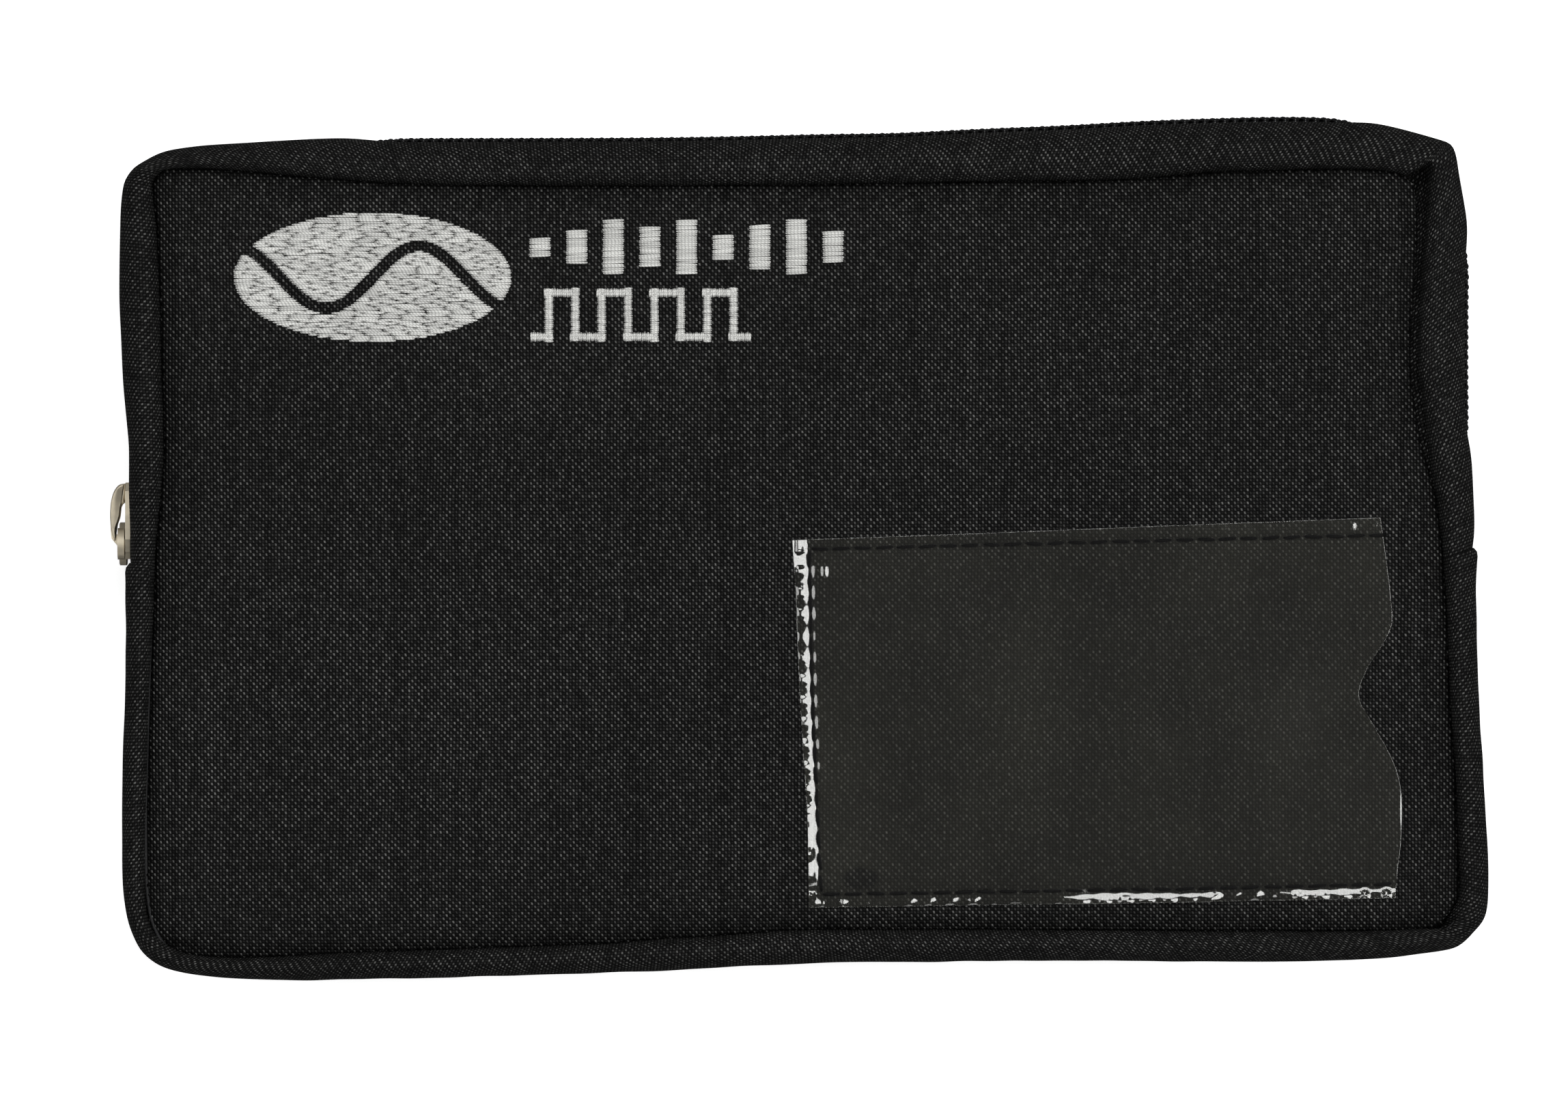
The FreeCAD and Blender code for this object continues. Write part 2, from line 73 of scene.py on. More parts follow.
def catmull(points, per):
    """Open centripetal Catmull-Rom spline through the points."""
    p = np.asarray(points, float)
    p = np.vstack([2 * p[0] - p[1], p, 2 * p[-1] - p[-2]])
    out = []
    for k in range(1, len(p) - 2):
        a, b, c, d = p[k - 1], p[k], p[k + 1], p[k + 2]
        t0 = 0.0
        t1 = t0 + max(np.linalg.norm(b - a), 1e-6) ** 0.5
        t2 = t1 + max(np.linalg.norm(c - b), 1e-6) ** 0.5
        t3 = t2 + max(np.linalg.norm(d - c), 1e-6) ** 0.5
        t = np.linspace(t1, t2, per, endpoint=False)[:, None]
        a1 = (t1 - t) / (t1 - t0) * a + (t - t0) / (t1 - t0) * b
        a2 = (t2 - t) / (t2 - t1) * b + (t - t1) / (t2 - t1) * c
        a3 = (t3 - t) / (t3 - t2) * c + (t - t2) / (t3 - t2) * d
        b1 = (t2 - t) / (t2 - t0) * a1 + (t - t0) / (t2 - t0) * a2
        b2 = (t3 - t) / (t3 - t1) * a2 + (t - t1) / (t3 - t1) * a3
        out.append((t2 - t) / (t2 - t1) * b1 + (t - t1) / (t2 - t1) * b2)
    out.append(p[-2][None])
    return np.vstack(out)


def even(points, n, endpoint=False):
    seg = np.linalg.norm(np.diff(points, axis=0), axis=1)
    s = np.concatenate([[0], np.cumsum(seg)])
    t = np.linspace(0, s[-1], n + (1 if not endpoint else 0), endpoint=True)
    if not endpoint:
        t = t[:-1]
    return np.stack([np.interp(t, s, points[:, i]) for i in range(points.shape[1])], axis=1)


def loop_of(table):
    return np.vstack([even(catmull(table[name], 12), n) for name, n in SIDES])


def smooth_loop(a, times):
    for _ in range(times):
        a = 0.5 * a + 0.25 * (np.roll(a, 1, axis=0) + np.roll(a, -1, axis=0))
    return a


S = smooth_loop(loop_of(SEAM), 2)
O = smooth_loop(loop_of(OUTER), 1)
D = smooth_loop(O - S, 2)
W = np.linalg.norm(D, axis=1)
N2 = D / W[:, None]
ARC = np.concatenate([[0], np.cumsum(np.linalg.norm(np.diff(O, axis=0), axis=1))])
TOP0, RIGHT0, BOTTOM0, LEFT0 = 0, 260, 420, 680


def smooth(a, b, x):
    t = np.clip((np.asarray(x, float) - a) / (b - a), 0, 1)
    return t * t * (3 - 2 * t)


def column_at(side0, n, y):
    """Column whose outline point is at height y on that side."""
    k = np.arange(side0, side0 + n)
    return int(k[np.argmin(np.abs(O[k, 1] - y))])


COL_R = column_at(RIGHT0, 160, LAP_R)
COL_L = column_at(LEFT0, 160, LAP_L)


def waves(x, y, length, seed, count=9):
    """Smooth band-limited noise, about -1 to 1, with features of that length."""
    r = np.random.default_rng(seed)
    out = np.zeros(np.broadcast(x, y).shape)
    for _ in range(count):
        a = r.uniform(0, 2 * math.pi)
        k = 2 * math.pi / (length * r.uniform(0.75, 1.5))
        out = out + np.sin(k * (np.cos(a) * x + np.sin(a) * y) + r.uniform(0, 2 * math.pi))
    return out / math.sqrt(count) / 1.4


# ---------------------------------------------------------------------------------------------------
# Mesh helpers: grids of points, in millimetres
# ---------------------------------------------------------------------------------------------------
def new_object(name, verts, faces, material, uv=None, smooth_faces=True):
    me = bpy.data.meshes.new(name)
    me.from_pydata([tuple(v) for v in np.asarray(verts, float) * MM], [], [tuple(int(i) for i in f) for f in faces])
    if uv is not None:
        layer = me.uv_layers.new(name="weave")
        flat = np.asarray(uv, np.float32).reshape(-1)
        layer.data.foreach_set("uv", flat)
    me.validate()
    me.update()
    ob = bpy.data.objects.new(name, me)
    bpy.context.scene.collection.objects.link(ob)
    if smooth_faces:
        me.polygons.foreach_set("use_smooth", [True] * len(me.polygons))
    me.materials.append(material)
    return ob


def grid_faces(nr, nc, wrap, base=0, flip=False):
    """Quads over a grid of nr rows and nc columns, as indices of vertices and of (row, column) for the UVs."""
    r = np.arange(nr - 1)[:, None]
    c = np.arange(nc if wrap else nc - 1)[None, :]
    c2 = (c + 1) % nc
    a = r * nc + c
    b = r * nc + c2
    d = (r + 1) * nc + c
    e = (r + 1) * nc + c2
    q = np.stack([a + 0 * e, b + 0 * e, e, d + 0 * e], axis=-1).reshape(-1, 4) + base
    cc = np.broadcast_to(c, (nr - 1, c.shape[1]))
    rr = np.broadcast_to(r, (nr - 1, c.shape[1]))
    uvq = np.stack([np.stack([rr, cc], -1), np.stack([rr, cc + 1], -1), np.stack([rr + 1, cc + 1], -1), np.stack([rr + 1, cc], -1)], axis=2).reshape(-1, 4, 2)
    if flip:
        q, uvq = q[:, ::-1], uvq[:, ::-1]
    return q, uvq


def grid_normals(P, wrap):
    dr = np.gradient(P, axis=0)
    if wrap:
        dc = (np.roll(P, -1, axis=1) - np.roll(P, 1, axis=1)) / 2
    else:
        dc = np.gradient(P, axis=1)
    n = np.cross(dc, dr)
    return n / np.maximum(np.linalg.norm(n, axis=2), 1e-9)[:, :, None]


def sheet_mesh(name, P, thick, material, UV, wrap=False, out=1, inner=None):
    """A closed cloth layer: P is its outer face (rows, columns, 3), thick is its thickness, UV is in mm.
    out is 1 where the columns' direction crossed with the rows' direction points out. inner gives the other face."""
    nr, nc = P.shape[:2]
    n = grid_normals(P, wrap) * out
    Q = inner if inner is not None else P - n * (thick[:, :, None] if isinstance(thick, np.ndarray) else thick)
    verts = np.vstack([P.reshape(-1, 3), Q.reshape(-1, 3)])
    m = nr * nc
    f1, u1 = grid_faces(nr, nc, wrap, 0, flip=out > 0)
    f1, u1 = f1[:, ::-1], u1[:, ::-1]
    f2, u2 = f1[:, ::-1] + m, u1[:, ::-1]
    faces, uvq = [f1, f2], [u1, u2]
    # rims
    def rim(ids, coords):
        ids, coords = np.asarray(ids), np.asarray(coords)
        a, b = ids[:-1], ids[1:]
        ca, cb = coords[:-1], coords[1:]
        return np.stack([a, b, b + m, a + m], -1), np.stack([ca, cb, cb, ca], 1)
    cols = np.arange(nc + 1 if wrap else nc)
    for r, rev in ((0, True), (nr - 1, False)):
        ids = r * nc + cols % nc
        co = np.stack([np.full(len(cols), r), cols], -1)
        q, uq = rim(ids, co)
        if rev:
            q, uq = q[:, ::-1], uq[:, ::-1]
        faces.append(q); uvq.append(uq)
    if not wrap:
        rows = np.arange(nr)
        for c, rev in ((0, False), (nc - 1, True)):
            ids = rows * nc + c
            co = np.stack([rows, np.full(nr, c)], -1)
            q, uq = rim(ids, co)
            if rev:
                q, uq = q[:, ::-1], uq[:, ::-1]
            faces.append(q); uvq.append(uq)
    faces = np.vstack(faces)
    uvq = np.vstack(uvq)
    if wrap:                                     # the wrapped column's UV goes on past the last one
        UVx = np.concatenate([UV, 2 * UV[:, -1:] - UV[:, -2:-1]], axis=1)
    else:
        UVx = UV
    uv = UVx[uvq[:, :, 0], uvq[:, :, 1]]
    ob = new_object(name, verts, faces, material, uv)
    fix_normals(ob)
    return ob


def fix_normals(ob):
    bm = bmesh.new()
    bm.from_mesh(ob.data)
    bmesh.ops.recalc_face_normals(bm, faces=bm.faces[:])
    bm.to_mesh(ob.data)
    bm.free()


def area_of(P):
    a = P[1:, 1:] - P[:-1, :-1]
    b = P[1:, :-1] - P[:-1, 1:]
    return float(np.linalg.norm(np.cross(a, b), axis=2).sum() / 2)


def profile(cols, rows, per, wrap=False):
    """Surface from a profile that runs outwards. rows is a list of (s, z), each a number or one number per
    column: s outwards from the seam of the front panel, z up. Returns P in mm."""
    cols = np.asarray(cols) % NCOL
    C = np.stack([np.stack([np.broadcast_to(s, (len(cols),)), np.broadcast_to(z, (len(cols),))], -1) for s, z in rows])
    out = []
    k = len(C)
    ext = np.concatenate([[2 * C[0] - C[1]], C, [2 * C[-1] - C[-2]]])
    for i in range(1, k):
        p0, p1, p2, p3 = ext[i - 1], ext[i], ext[i + 1], ext[i + 2]
        t = np.linspace(0, 1, per, endpoint=False)[:, None, None]
        out.append(0.5 * ((2 * p1) + (-p0 + p2) * t + (2 * p0 - 5 * p1 + 4 * p2 - p3) * t ** 2 + (-p0 + 3 * p1 - 3 * p2 + p3) * t ** 3))
    out.append(C[-1][None])
    sz = np.concatenate(out)
    P = np.zeros(sz.shape[:2] + (3,))
    P[..., :2] = S[cols][None] + N2[cols][None] * sz[..., 0:1]
    P[..., 2] = sz[..., 1]
    return P


def arc_uv(P, wrap=False, cols=None):
    """UV in mm that follows the surface: columns along the outline, rows across it."""
    dc = np.linalg.norm(np.diff(P, axis=1), axis=2).mean(axis=0)
    u = np.concatenate([[0], np.cumsum(dc)])
    dr = np.linalg.norm(np.diff(P, axis=0), axis=2)
    v = np.concatenate([np.zeros((1, P.shape[1])), np.cumsum(dr, axis=0)])
    return np.stack([np.broadcast_to(u[None], v.shape), v], -1)


def coons(top, right, bottom, left):
    """Grid between four sides; top and bottom run left to right, left and right run bottom to top."""
    nc, nr = len(top), len(left)
    u = np.linspace(0, 1, nc)[None, :, None]
    v = np.linspace(0, 1, nr)[:, None, None]
    ruled1 = (1 - v) * bottom[None] + v * top[None]
    ruled2 = (1 - u) * left[:, None] + u * right[:, None]
    bil = (1 - u) * (1 - v) * bottom[0] + u * (1 - v) * bottom[-1] + (1 - u) * v * top[0] + u * v * top[-1]
    return ruled1 + ruled2 - bil


def panel_grid(loop, nc, nr):
    """Grid inside a loop of NCOL points; rows run bottom to top, columns left to right."""
    L = np.vstack([loop, loop[:1]])
    t = resample(L[TOP0:RIGHT0 + 1], nc)
    r = resample(L[RIGHT0:BOTTOM0 + 1], nr)[::-1]
    b = resample(L[BOTTOM0:LEFT0 + 1], nc)[::-1]
    l = resample(L[LEFT0:NCOL + 1], nr)
    return coons(t, r, b, l)


def resample(points, n):
    seg = np.linalg.norm(np.diff(points, axis=0), axis=1)
    s = np.concatenate([[0], np.cumsum(seg)])
    t = np.linspace(0, s[-1], n)
    return np.stack([np.interp(t, s, points[:, i]) for i in range(points.shape[1])], axis=1)


def inset(loop, d):
    """The loop moved inwards by d, along its own normals."""
    t = np.roll(loop, -1, axis=0) - np.roll(loop, 1, axis=0)
    n = np.stack([-t[:, 1], t[:, 0]], -1)
    n /= np.linalg.norm(n, axis=1)[:, None]
    return loop - n * d


def edge_distance(P2, loop):
    """Distance from each point of a grid to the loop."""
    flat = P2.reshape(-1, 2)
    best = np.full(len(flat), 1e9)
    for k in range(0, len(loop), 2):
        d = np.hypot(flat[:, 0] - loop[k, 0], flat[:, 1] - loop[k, 1])
        best = np.minimum(best, d)
    return best.reshape(P2.shape[:2])


def tubes(name, paths, radius, sides, material, uvs=None, squash=1.0, up=(0, 0, 1), taper=None):
    """One mesh of closed tubes. paths is a list of (n, 3) arrays in mm; radius is a number, which taper, a function of
    0..1, can scale along each tube.
    """
    verts, faces, uv = [], [], []
    base = 0
    ang = np.linspace(0, 2 * math.pi, sides, endpoint=False)
    for j, path in enumerate(paths):
        p = np.asarray(path, float)
        n = len(p)
        t = np.gradient(p, axis=0)
        t /= np.maximum(np.linalg.norm(t, axis=1), 1e-9)[:, None]
        ref = np.broadcast_to(np.asarray(up, float), t.shape)
        a = np.cross(t, ref)
        la = np.linalg.norm(a, axis=1)
        a = np.where(la[:, None] > 1e-3, a / np.maximum(la, 1e-9)[:, None], np.array([1.0, 0, 0]))
        b = np.cross(a, t)
        f = np.linspace(0, 1, n)
        r = np.full(n, radius) if taper is None else radius * taper(f)
        ring = p[:, None] + r[:, None, None] * (np.cos(ang)[None, :, None] * a[:, None] + squash * np.sin(ang)[None, :, None] * b[:, None])
        verts.append(ring.reshape(-1, 3))
        q, uq = grid_faces(n, sides, True, base)
        faces += q.tolist()
        length = np.concatenate([[0], np.cumsum(np.linalg.norm(np.diff(p, axis=0), axis=1))])
        uvrow = np.stack([length[uq[:, :, 0]], uq[:, :, 1] / sides * 2 * math.pi * radius + 10.0 * j], -1)
        uv += uvrow.reshape(-1, 2).tolist()
        faces.append(list(range(base, base + sides))[::-1])
        uv += [[0.0, 10.0 * j]] * sides
        faces.append(list(range(base + (n - 1) * sides, base + n * sides)))
        uv += [[float(length[-1]), 10.0 * j]] * sides
        base += n * sides
    ob = new_object(name, np.vstack(verts), faces, material, np.array(uv))
    fix_normals(ob)
    return ob


# ---------------------------------------------------------------------------------------------------
# Materials
# ---------------------------------------------------------------------------------------------------
class Tree:
    """Short hand for a material's nodes."""

    def __init__(self, name):
        self.mat = bpy.data.materials.new(name)
        self.mat.use_nodes = True
        self.nt = self.mat.node_tree
        self.nt.nodes.clear()
        self.out = self.nt.nodes.new("ShaderNodeOutputMaterial")

    def node(self, kind, **sets):
        n = self.nt.nodes.new(kind)
        for k, v in sets.items():
            if k.startswith("in_"):
                n.inputs[k[3:].replace("_", " ")].default_value = v
            else:
                setattr(n, k, v)
        return n

    def link(self, a, b):
        self.nt.links.new(a, b)

    def math(self, op, a, b=None, c=None, clamp=False):
        n = self.nt.nodes.new("ShaderNodeMath")
        n.operation = op
        n.use_clamp = clamp
        for i, v in enumerate((a, b, c)):
            if v is None:
                continue
            if isinstance(v, (int, float)):
                n.inputs[i].default_value = v
            else:
                self.link(v, n.inputs[i])
        return n.outputs[0]

    def uv(self):
        return self.node("ShaderNodeUVMap", uv_map="weave").outputs["UV"]

    def split(self, vec):
        n = self.node("ShaderNodeSeparateXYZ")
        self.link(vec, n.inputs[0])
        return n.outputs["X"], n.outputs["Y"]

    def join(self, x, y, z=0.0):
        n = self.node("ShaderNodeCombineXYZ")
        for i, v in enumerate((x, y, z)):
            if isinstance(v, (int, float)):
                n.inputs[i].default_value = v
            else:
                self.link(v, n.inputs[i])
        return n.outputs[0]

    def noise(self, vec, scale, detail=2.0, rough=0.5, dims="3D"):
        n = self.node("ShaderNodeTexNoise", noise_dimensions=dims)
        n.inputs["Scale"].default_value = scale
        n.inputs["Detail"].default_value = detail
        n.inputs["Roughness"].default_value = rough
        if vec is not None:
            self.link(vec, n.inputs["Vector"])
        return n.outputs["Fac"]

    def white(self, vec, dims="2D"):
        n = self.node("ShaderNodeTexWhiteNoise", noise_dimensions=dims)
        self.link(vec, n.inputs["Vector"])
        return n.outputs["Value"]

    def ramp(self, fac, stops):
        n = self.node("ShaderNodeValToRGB")
        e = n.color_ramp.elements
        while len(e) < len(stops):
            e.new(0.5)
        for el, (p, c) in zip(e, stops):
            el.position = p
            el.color = (*c, 1.0) if len(c) == 3 else c
        self.link(fac, n.inputs[0])
        return n.outputs["Color"]

    def mix_colour(self, fac, a, b, kind="MIX"):
        n = self.node("ShaderNodeMix", data_type="RGBA", blend_type=kind)
        for sock, v in ((n.inputs[0], fac), (n.inputs[6], a), (n.inputs[7], b)):
            if isinstance(v, (int, float)):
                sock.default_value = v
            elif isinstance(v, tuple):
                sock.default_value = (*v, 1.0)
            else:
                self.link(v, sock)
        return n.outputs[2]

    def bump(self, height, distance, strength=1.0, normal=None):
        n = self.node("ShaderNodeBump")
        n.inputs["Distance"].default_value = distance
        n.inputs["Strength"].default_value = strength
        self.link(height, n.inputs["Height"])
        if normal is not None:
            self.link(normal, n.inputs["Normal"])
        return n.outputs["Normal"]

    def principled(self, **sets):
        n = self.node("ShaderNodeBsdfPrincipled")
        for k, v in sets.items():
            sock = n.inputs[k.replace("_", " ")]
            if isinstance(v, (int, float)):
                sock.default_value = v
            elif isinstance(v, tuple):
                sock.default_value = (*v, 1.0) if len(v) == 3 and sock.type == "RGBA" else v
            else:
                self.link(v, sock)
        return n

    def finish(self, shader):
        self.link(shader.outputs[0] if hasattr(shader, "outputs") else shader, self.out.inputs["Surface"])
        return self.mat


def woven(name, pitch, gap, weft, warp, rough=0.55, depth=0.00018, sheen=0.0, specular=0.4, lean=0.22, tone_and_glint_spread=(0.45, 1.75), patch=0.0):
    """Plain weave from UVs in millimetres: warp floats and weft floats in a checker, each thread with its own tone. The
    brighter floats are partly random yarn tone and partly painted glints on the yarn.
    """
    t = Tree(name)
    x, y = t.split(t.uv())
    # threads never run quite straight
    drift = t.noise(t.join(t.math("MULTIPLY", x, 0.045), t.math("MULTIPLY", y, 0.045)), 1.0, 3.0)
    drift = t.math("MULTIPLY", t.math("SUBTRACT", drift, 0.5), 1.6 * pitch)
    u = t.math("DIVIDE", t.math("ADD", x, drift), pitch)
    v = t.math("DIVIDE", t.math("ADD", y, t.math("MULTIPLY", drift, -0.8)), pitch)
    iu, iv = t.math("FLOOR", u), t.math("FLOOR", v)
    fu = t.math("SUBTRACT", t.math("FRACT", u), 0.5)
    fv = t.math("SUBTRACT", t.math("FRACT", v), 0.5)
    odd = t.math("FLOORED_MODULO", t.math("ADD", iu, iv), 2.0)          # 1 where the warp is on top
    # a float leans a little, as twisted yarn does
    lu = t.math("ADD", fu, t.math("MULTIPLY", fv, lean))
    au = t.math("SUBTRACT", 1.0, t.math("POWER", t.math("ABSOLUTE", t.math("MULTIPLY", lu, 2.3)), 2.0), clamp=True)
    av = t.math("SUBTRACT", 1.0, t.math("POWER", t.math("ABSOLUTE", t.math("MULTIPLY", fv, 2.0)), 3.4), clamp=True)
    bu = t.math("SUBTRACT", 1.0, t.math("POWER", t.math("ABSOLUTE", t.math("MULTIPLY", fu, 2.0)), 2.4), clamp=True)
    over = t.math("MULTIPLY", au, t.math("ADD", t.math("MULTIPLY", av, 0.85), 0.15))
    under = t.math("MULTIPLY", t.math("MULTIPLY", av, t.math("ADD", t.math("MULTIPLY", bu, 0.7), 0.3)), 0.62)
    h = t.math("ADD", t.math("MULTIPLY", odd, over), t.math("MULTIPLY", t.math("SUBTRACT", 1.0, odd), under))
    # brightness per float: partly random yarn tone, partly painted glints, with the widest range in the outer cloth
    cell = t.white(t.join(iu, iv))
    thread = t.white(t.join(iu, 7.0))
    tone = t.math("ADD", t.math("MULTIPLY", t.math("POWER", cell, 1.8), 0.85), t.math("MULTIPLY", thread, 0.18))
    tone = t.math("ADD", t.math("MULTIPLY", tone, tone_and_glint_spread[1] - tone_and_glint_spread[0]), tone_and_glint_spread[0])
    fibre = t.noise(t.join(t.math("MULTIPLY", x, 9.0), t.math("MULTIPLY", y, 2.2)), 1.6, 2.0)
    # warp floats lighter than weft floats: in the outer cloth this is mostly painted glint on the floats
    yarn = t.mix_colour(odd, weft, warp)
    body = t.mix_colour(t.math("POWER", h, 1.3), gap, yarn)
    body = t.mix_colour(1.0, body, t.join(tone, tone, tone), "MULTIPLY")
    broad = t.noise(t.join(t.math("MULTIPLY", x, 0.022), t.math("MULTIPLY", y, 0.022), 3.0), 1.0, 2.0)
    broad = t.math("ADD", t.math("MULTIPLY", broad, 0.7), 0.65)
    body = t.mix_colour(1.0, body, t.join(broad, broad, broad), "MULTIPLY")
    r = t.math("ADD", t.math("MULTIPLY", fibre, 0.18), rough + 0.28)
    r = t.math("SUBTRACT", r, t.math("MULTIPLY", h, 0.38), clamp=True)
    height = t.math("ADD", h, t.math("MULTIPLY", fibre, 0.25))
    n = t.bump(height, depth, 1.0)
    p = t.principled(Base_Color=body, Roughness=r, Normal=n)
    p.inputs["Specular IOR Level"].default_value = specular
    if sheen:
        p.inputs["Sheen Weight"].default_value = sheen
        p.inputs["Sheen Roughness"].default_value = 0.4
        p.inputs["Sheen Tint"].default_value = (0.7, 0.7, 0.68, 1)
    return t.finish(p)


def herringbone(name, pitch, dark, light, rough=0.6):
    t = Tree(name)
    x, y = t.split(t.uv())
    band = t.math("PINGPONG", y, 2.4)
    d = t.math("FRACT", t.math("DIVIDE", t.math("ADD", x, band), pitch))
    h = t.math("SINE", t.math("MULTIPLY", d, math.pi))
    along = t.math("FRACT", t.math("DIVIDE", y, pitch * 0.8))
    h = t.math("MULTIPLY", h, t.math("ADD", t.math("MULTIPLY", t.math("SINE", t.math("MULTIPLY", along, math.pi)), 0.5), 0.5))
    fibre = t.noise(t.join(t.math("MULTIPLY", x, 6.0), t.math("MULTIPLY", y, 6.0)), 1.0, 2.0)
    body = t.mix_colour(h, dark, light)
    n = t.bump(t.math("ADD", h, t.math("MULTIPLY", fibre, 0.3)), 0.00012, 1.0)
    r = t.math("ADD", t.math("MULTIPLY", fibre, 0.2), rough - 0.1)
    return t.finish(t.principled(Base_Color=body, Roughness=r, Normal=n))


def coil_plastic(name):
    t = Tree(name)
    g = t.node("ShaderNodeTexCoord").outputs["Object"]
    a = t.noise(g, 900.0, 2.0)
    b = t.noise(g, 120.0, 2.0)
    body = t.ramp(b, [(0.3, (0.002, 0.002, 0.0022)), (0.7, (0.006, 0.006, 0.0065))])
    r = t.math("ADD", t.math("MULTIPLY", a, 0.14), 0.10)
    n = t.bump(a, 0.00002, 0.4)
    p = t.principled(Base_Color=body, Roughness=r, Normal=n)
    p.inputs["IOR"].default_value = 1.53
    return t.finish(p)


def nickel(name, tint=(0.84, 0.76, 0.60)):
    t = Tree(name)
    g = t.node("ShaderNodeTexCoord").outputs["Object"]
    a = t.noise(g, 700.0, 3.0)
    b = t.noise(g, 220.0, 3.0, 0.6)
    sx, sy = t.split(g)
    stretched = t.node("ShaderNodeMapping")
    stretched.inputs["Scale"].default_value = (1.0, 0.12, 1.0)
    t.link(g, stretched.inputs["Vector"])
    brush = t.noise(stretched.outputs[0], 2600.0, 2.0)
    body = t.ramp(b, [(0.25, tuple(0.62 * c for c in tint)), (0.75, tint)])
    r = t.math("ADD", t.math("MULTIPLY", b, 0.18), 0.50)
    n = t.bump(t.math("ADD", t.math("MULTIPLY", a, 0.6), t.math("MULTIPLY", brush, 0.4)), 0.00006, 0.5)
    p = t.principled(Base_Color=body, Roughness=r, Normal=n)
    p.inputs["Metallic"].default_value = 1.0
    return t.finish(p)


def thread(name, dark, light, rough=0.38, twist=0.32, sheen=0.3, jitter=0.35, specular=0.5):
    """Twisted or trilobal yarn. UVs in mm: x along the thread, y round it and a new band per thread."""
    t = Tree(name)
    x, y = t.split(t.uv())
    strand = t.white(t.join(t.math("FLOOR", t.math("DIVIDE", y, 10.0)), 3.0))
    ply = t.math("FRACT", t.math("ADD", t.math("DIVIDE", x, twist), t.math("MULTIPLY", y, 0.9)))
    h = t.math("SINE", t.math("MULTIPLY", ply, math.pi))
    fine = t.noise(t.join(t.math("MULTIPLY", x, 2.5), t.math("MULTIPLY", y, 14.0)), 1.5, 2.0)
    body = t.mix_colour(t.math("MULTIPLY", t.math("ADD", h, fine), 0.5, clamp=True), dark, light)
    tone = t.math("ADD", t.math("MULTIPLY", strand, jitter), 1.0 - jitter / 2)
    body = t.mix_colour(1.0, body, t.join(tone, tone, tone), "MULTIPLY")
    n = t.bump(t.math("ADD", h, fine), 0.00005, 0.8)
    r = t.math("ADD", t.math("MULTIPLY", fine, 0.2), rough - 0.1)
    p = t.principled(Base_Color=body, Roughness=r, Normal=n)
    p.inputs["Sheen Weight"].default_value = sheen
    p.inputs["Specular IOR Level"].default_value = specular
    return t.finish(p)


def foam_material(name, colour):
    t = Tree(name)
    g = t.node("ShaderNodeTexCoord").outputs["Object"]
    v = t.node("ShaderNodeTexVoronoi", feature="F1")
    v.inputs["Scale"].default_value = 1400.0
    t.link(g, v.inputs["Vector"])
    cells = v.outputs["Distance"]
    b = t.noise(g, 90.0, 3.0)
    body = t.mix_colour(cells, tuple(c * 0.5 for c in colour), colour)
    tone = t.math("ADD", t.math("MULTIPLY", b, 0.5), 0.75)
    body = t.mix_colour(1.0, body, t.join(tone, tone, tone), "MULTIPLY")
    n = t.bump(cells, 0.0002, 0.8)
    return t.finish(t.principled(Base_Color=body, Roughness=0.9, Normal=n))


def vinyl_material(name):
    """Clear flexible vinyl: a faint olive haze, a sharp reflection, and slow ripples."""
    t = Tree(name)
    g = t.node("ShaderNodeTexCoord").outputs["Object"]
    slow = t.noise(g, 55.0, 2.0, 0.4)
    n = t.bump(slow, 0.0003, 0.3)
    clear = t.node("ShaderNodeBsdfTransparent")
    clear.inputs["Color"].default_value = (0.965, 0.965, 0.95, 1)
    haze = t.node("ShaderNodeBsdfDiffuse")
    haze.inputs["Color"].default_value = (0.34, 0.34, 0.26, 1)
    t.link(n, haze.inputs["Normal"])
    cloud = t.math("ADD", t.math("MULTIPLY", t.math("SUBTRACT", t.noise(g, 48.0, 4.0, 0.6), 0.5), 2.6), 0.5, clamp=True)
    dusty = t.math("ADD", t.math("MULTIPLY", cloud, 0.013), 0.007)
    # where the film clings to the cloth it has no haze
    px, py = t.split(g)
    cx = t.math("DIVIDE", t.math("SUBTRACT", px, 0.0102), 0.0034)
    cy = t.math("DIVIDE", t.math("SUBTRACT", py, -0.0530), 0.0021)
    cling = t.math("ADD", t.math("MULTIPLY", cx, cx), t.math("MULTIPLY", cy, cy))
    cling = t.math("ADD", cling, t.math("MULTIPLY", t.noise(g, 500.0, 2.0), 0.8))
    cling = t.math("MULTIPLY", t.math("SUBTRACT", cling, 0.9), 3.0, clamp=True)
    dusty = t.math("MULTIPLY", dusty, t.math("ADD", t.math("MULTIPLY", cling, 0.85), 0.15))
    body = t.node("ShaderNodeMixShader")
    t.link(dusty, body.inputs[0])
    t.link(clear.outputs[0], body.inputs[1])
    t.link(haze.outputs[0], body.inputs[2])
    gloss = t.node("ShaderNodeBsdfGlossy")
    gloss.inputs["Color"].default_value = (1, 1, 1, 1)
    gloss.inputs["Roughness"].default_value = 0.06
    t.link(n, gloss.inputs["Normal"])
    facing = t.node("ShaderNodeFresnel")
    facing.inputs["IOR"].default_value = 1.7
    t.link(n, facing.inputs["Normal"])
    mix = t.node("ShaderNodeMixShader")
    t.link(facing.outputs[0], mix.inputs[0])
    t.link(body.outputs[0], mix.inputs[1])
    t.link(gloss.outputs[0], mix.inputs[2])
    return t.finish(mix.outputs[0])
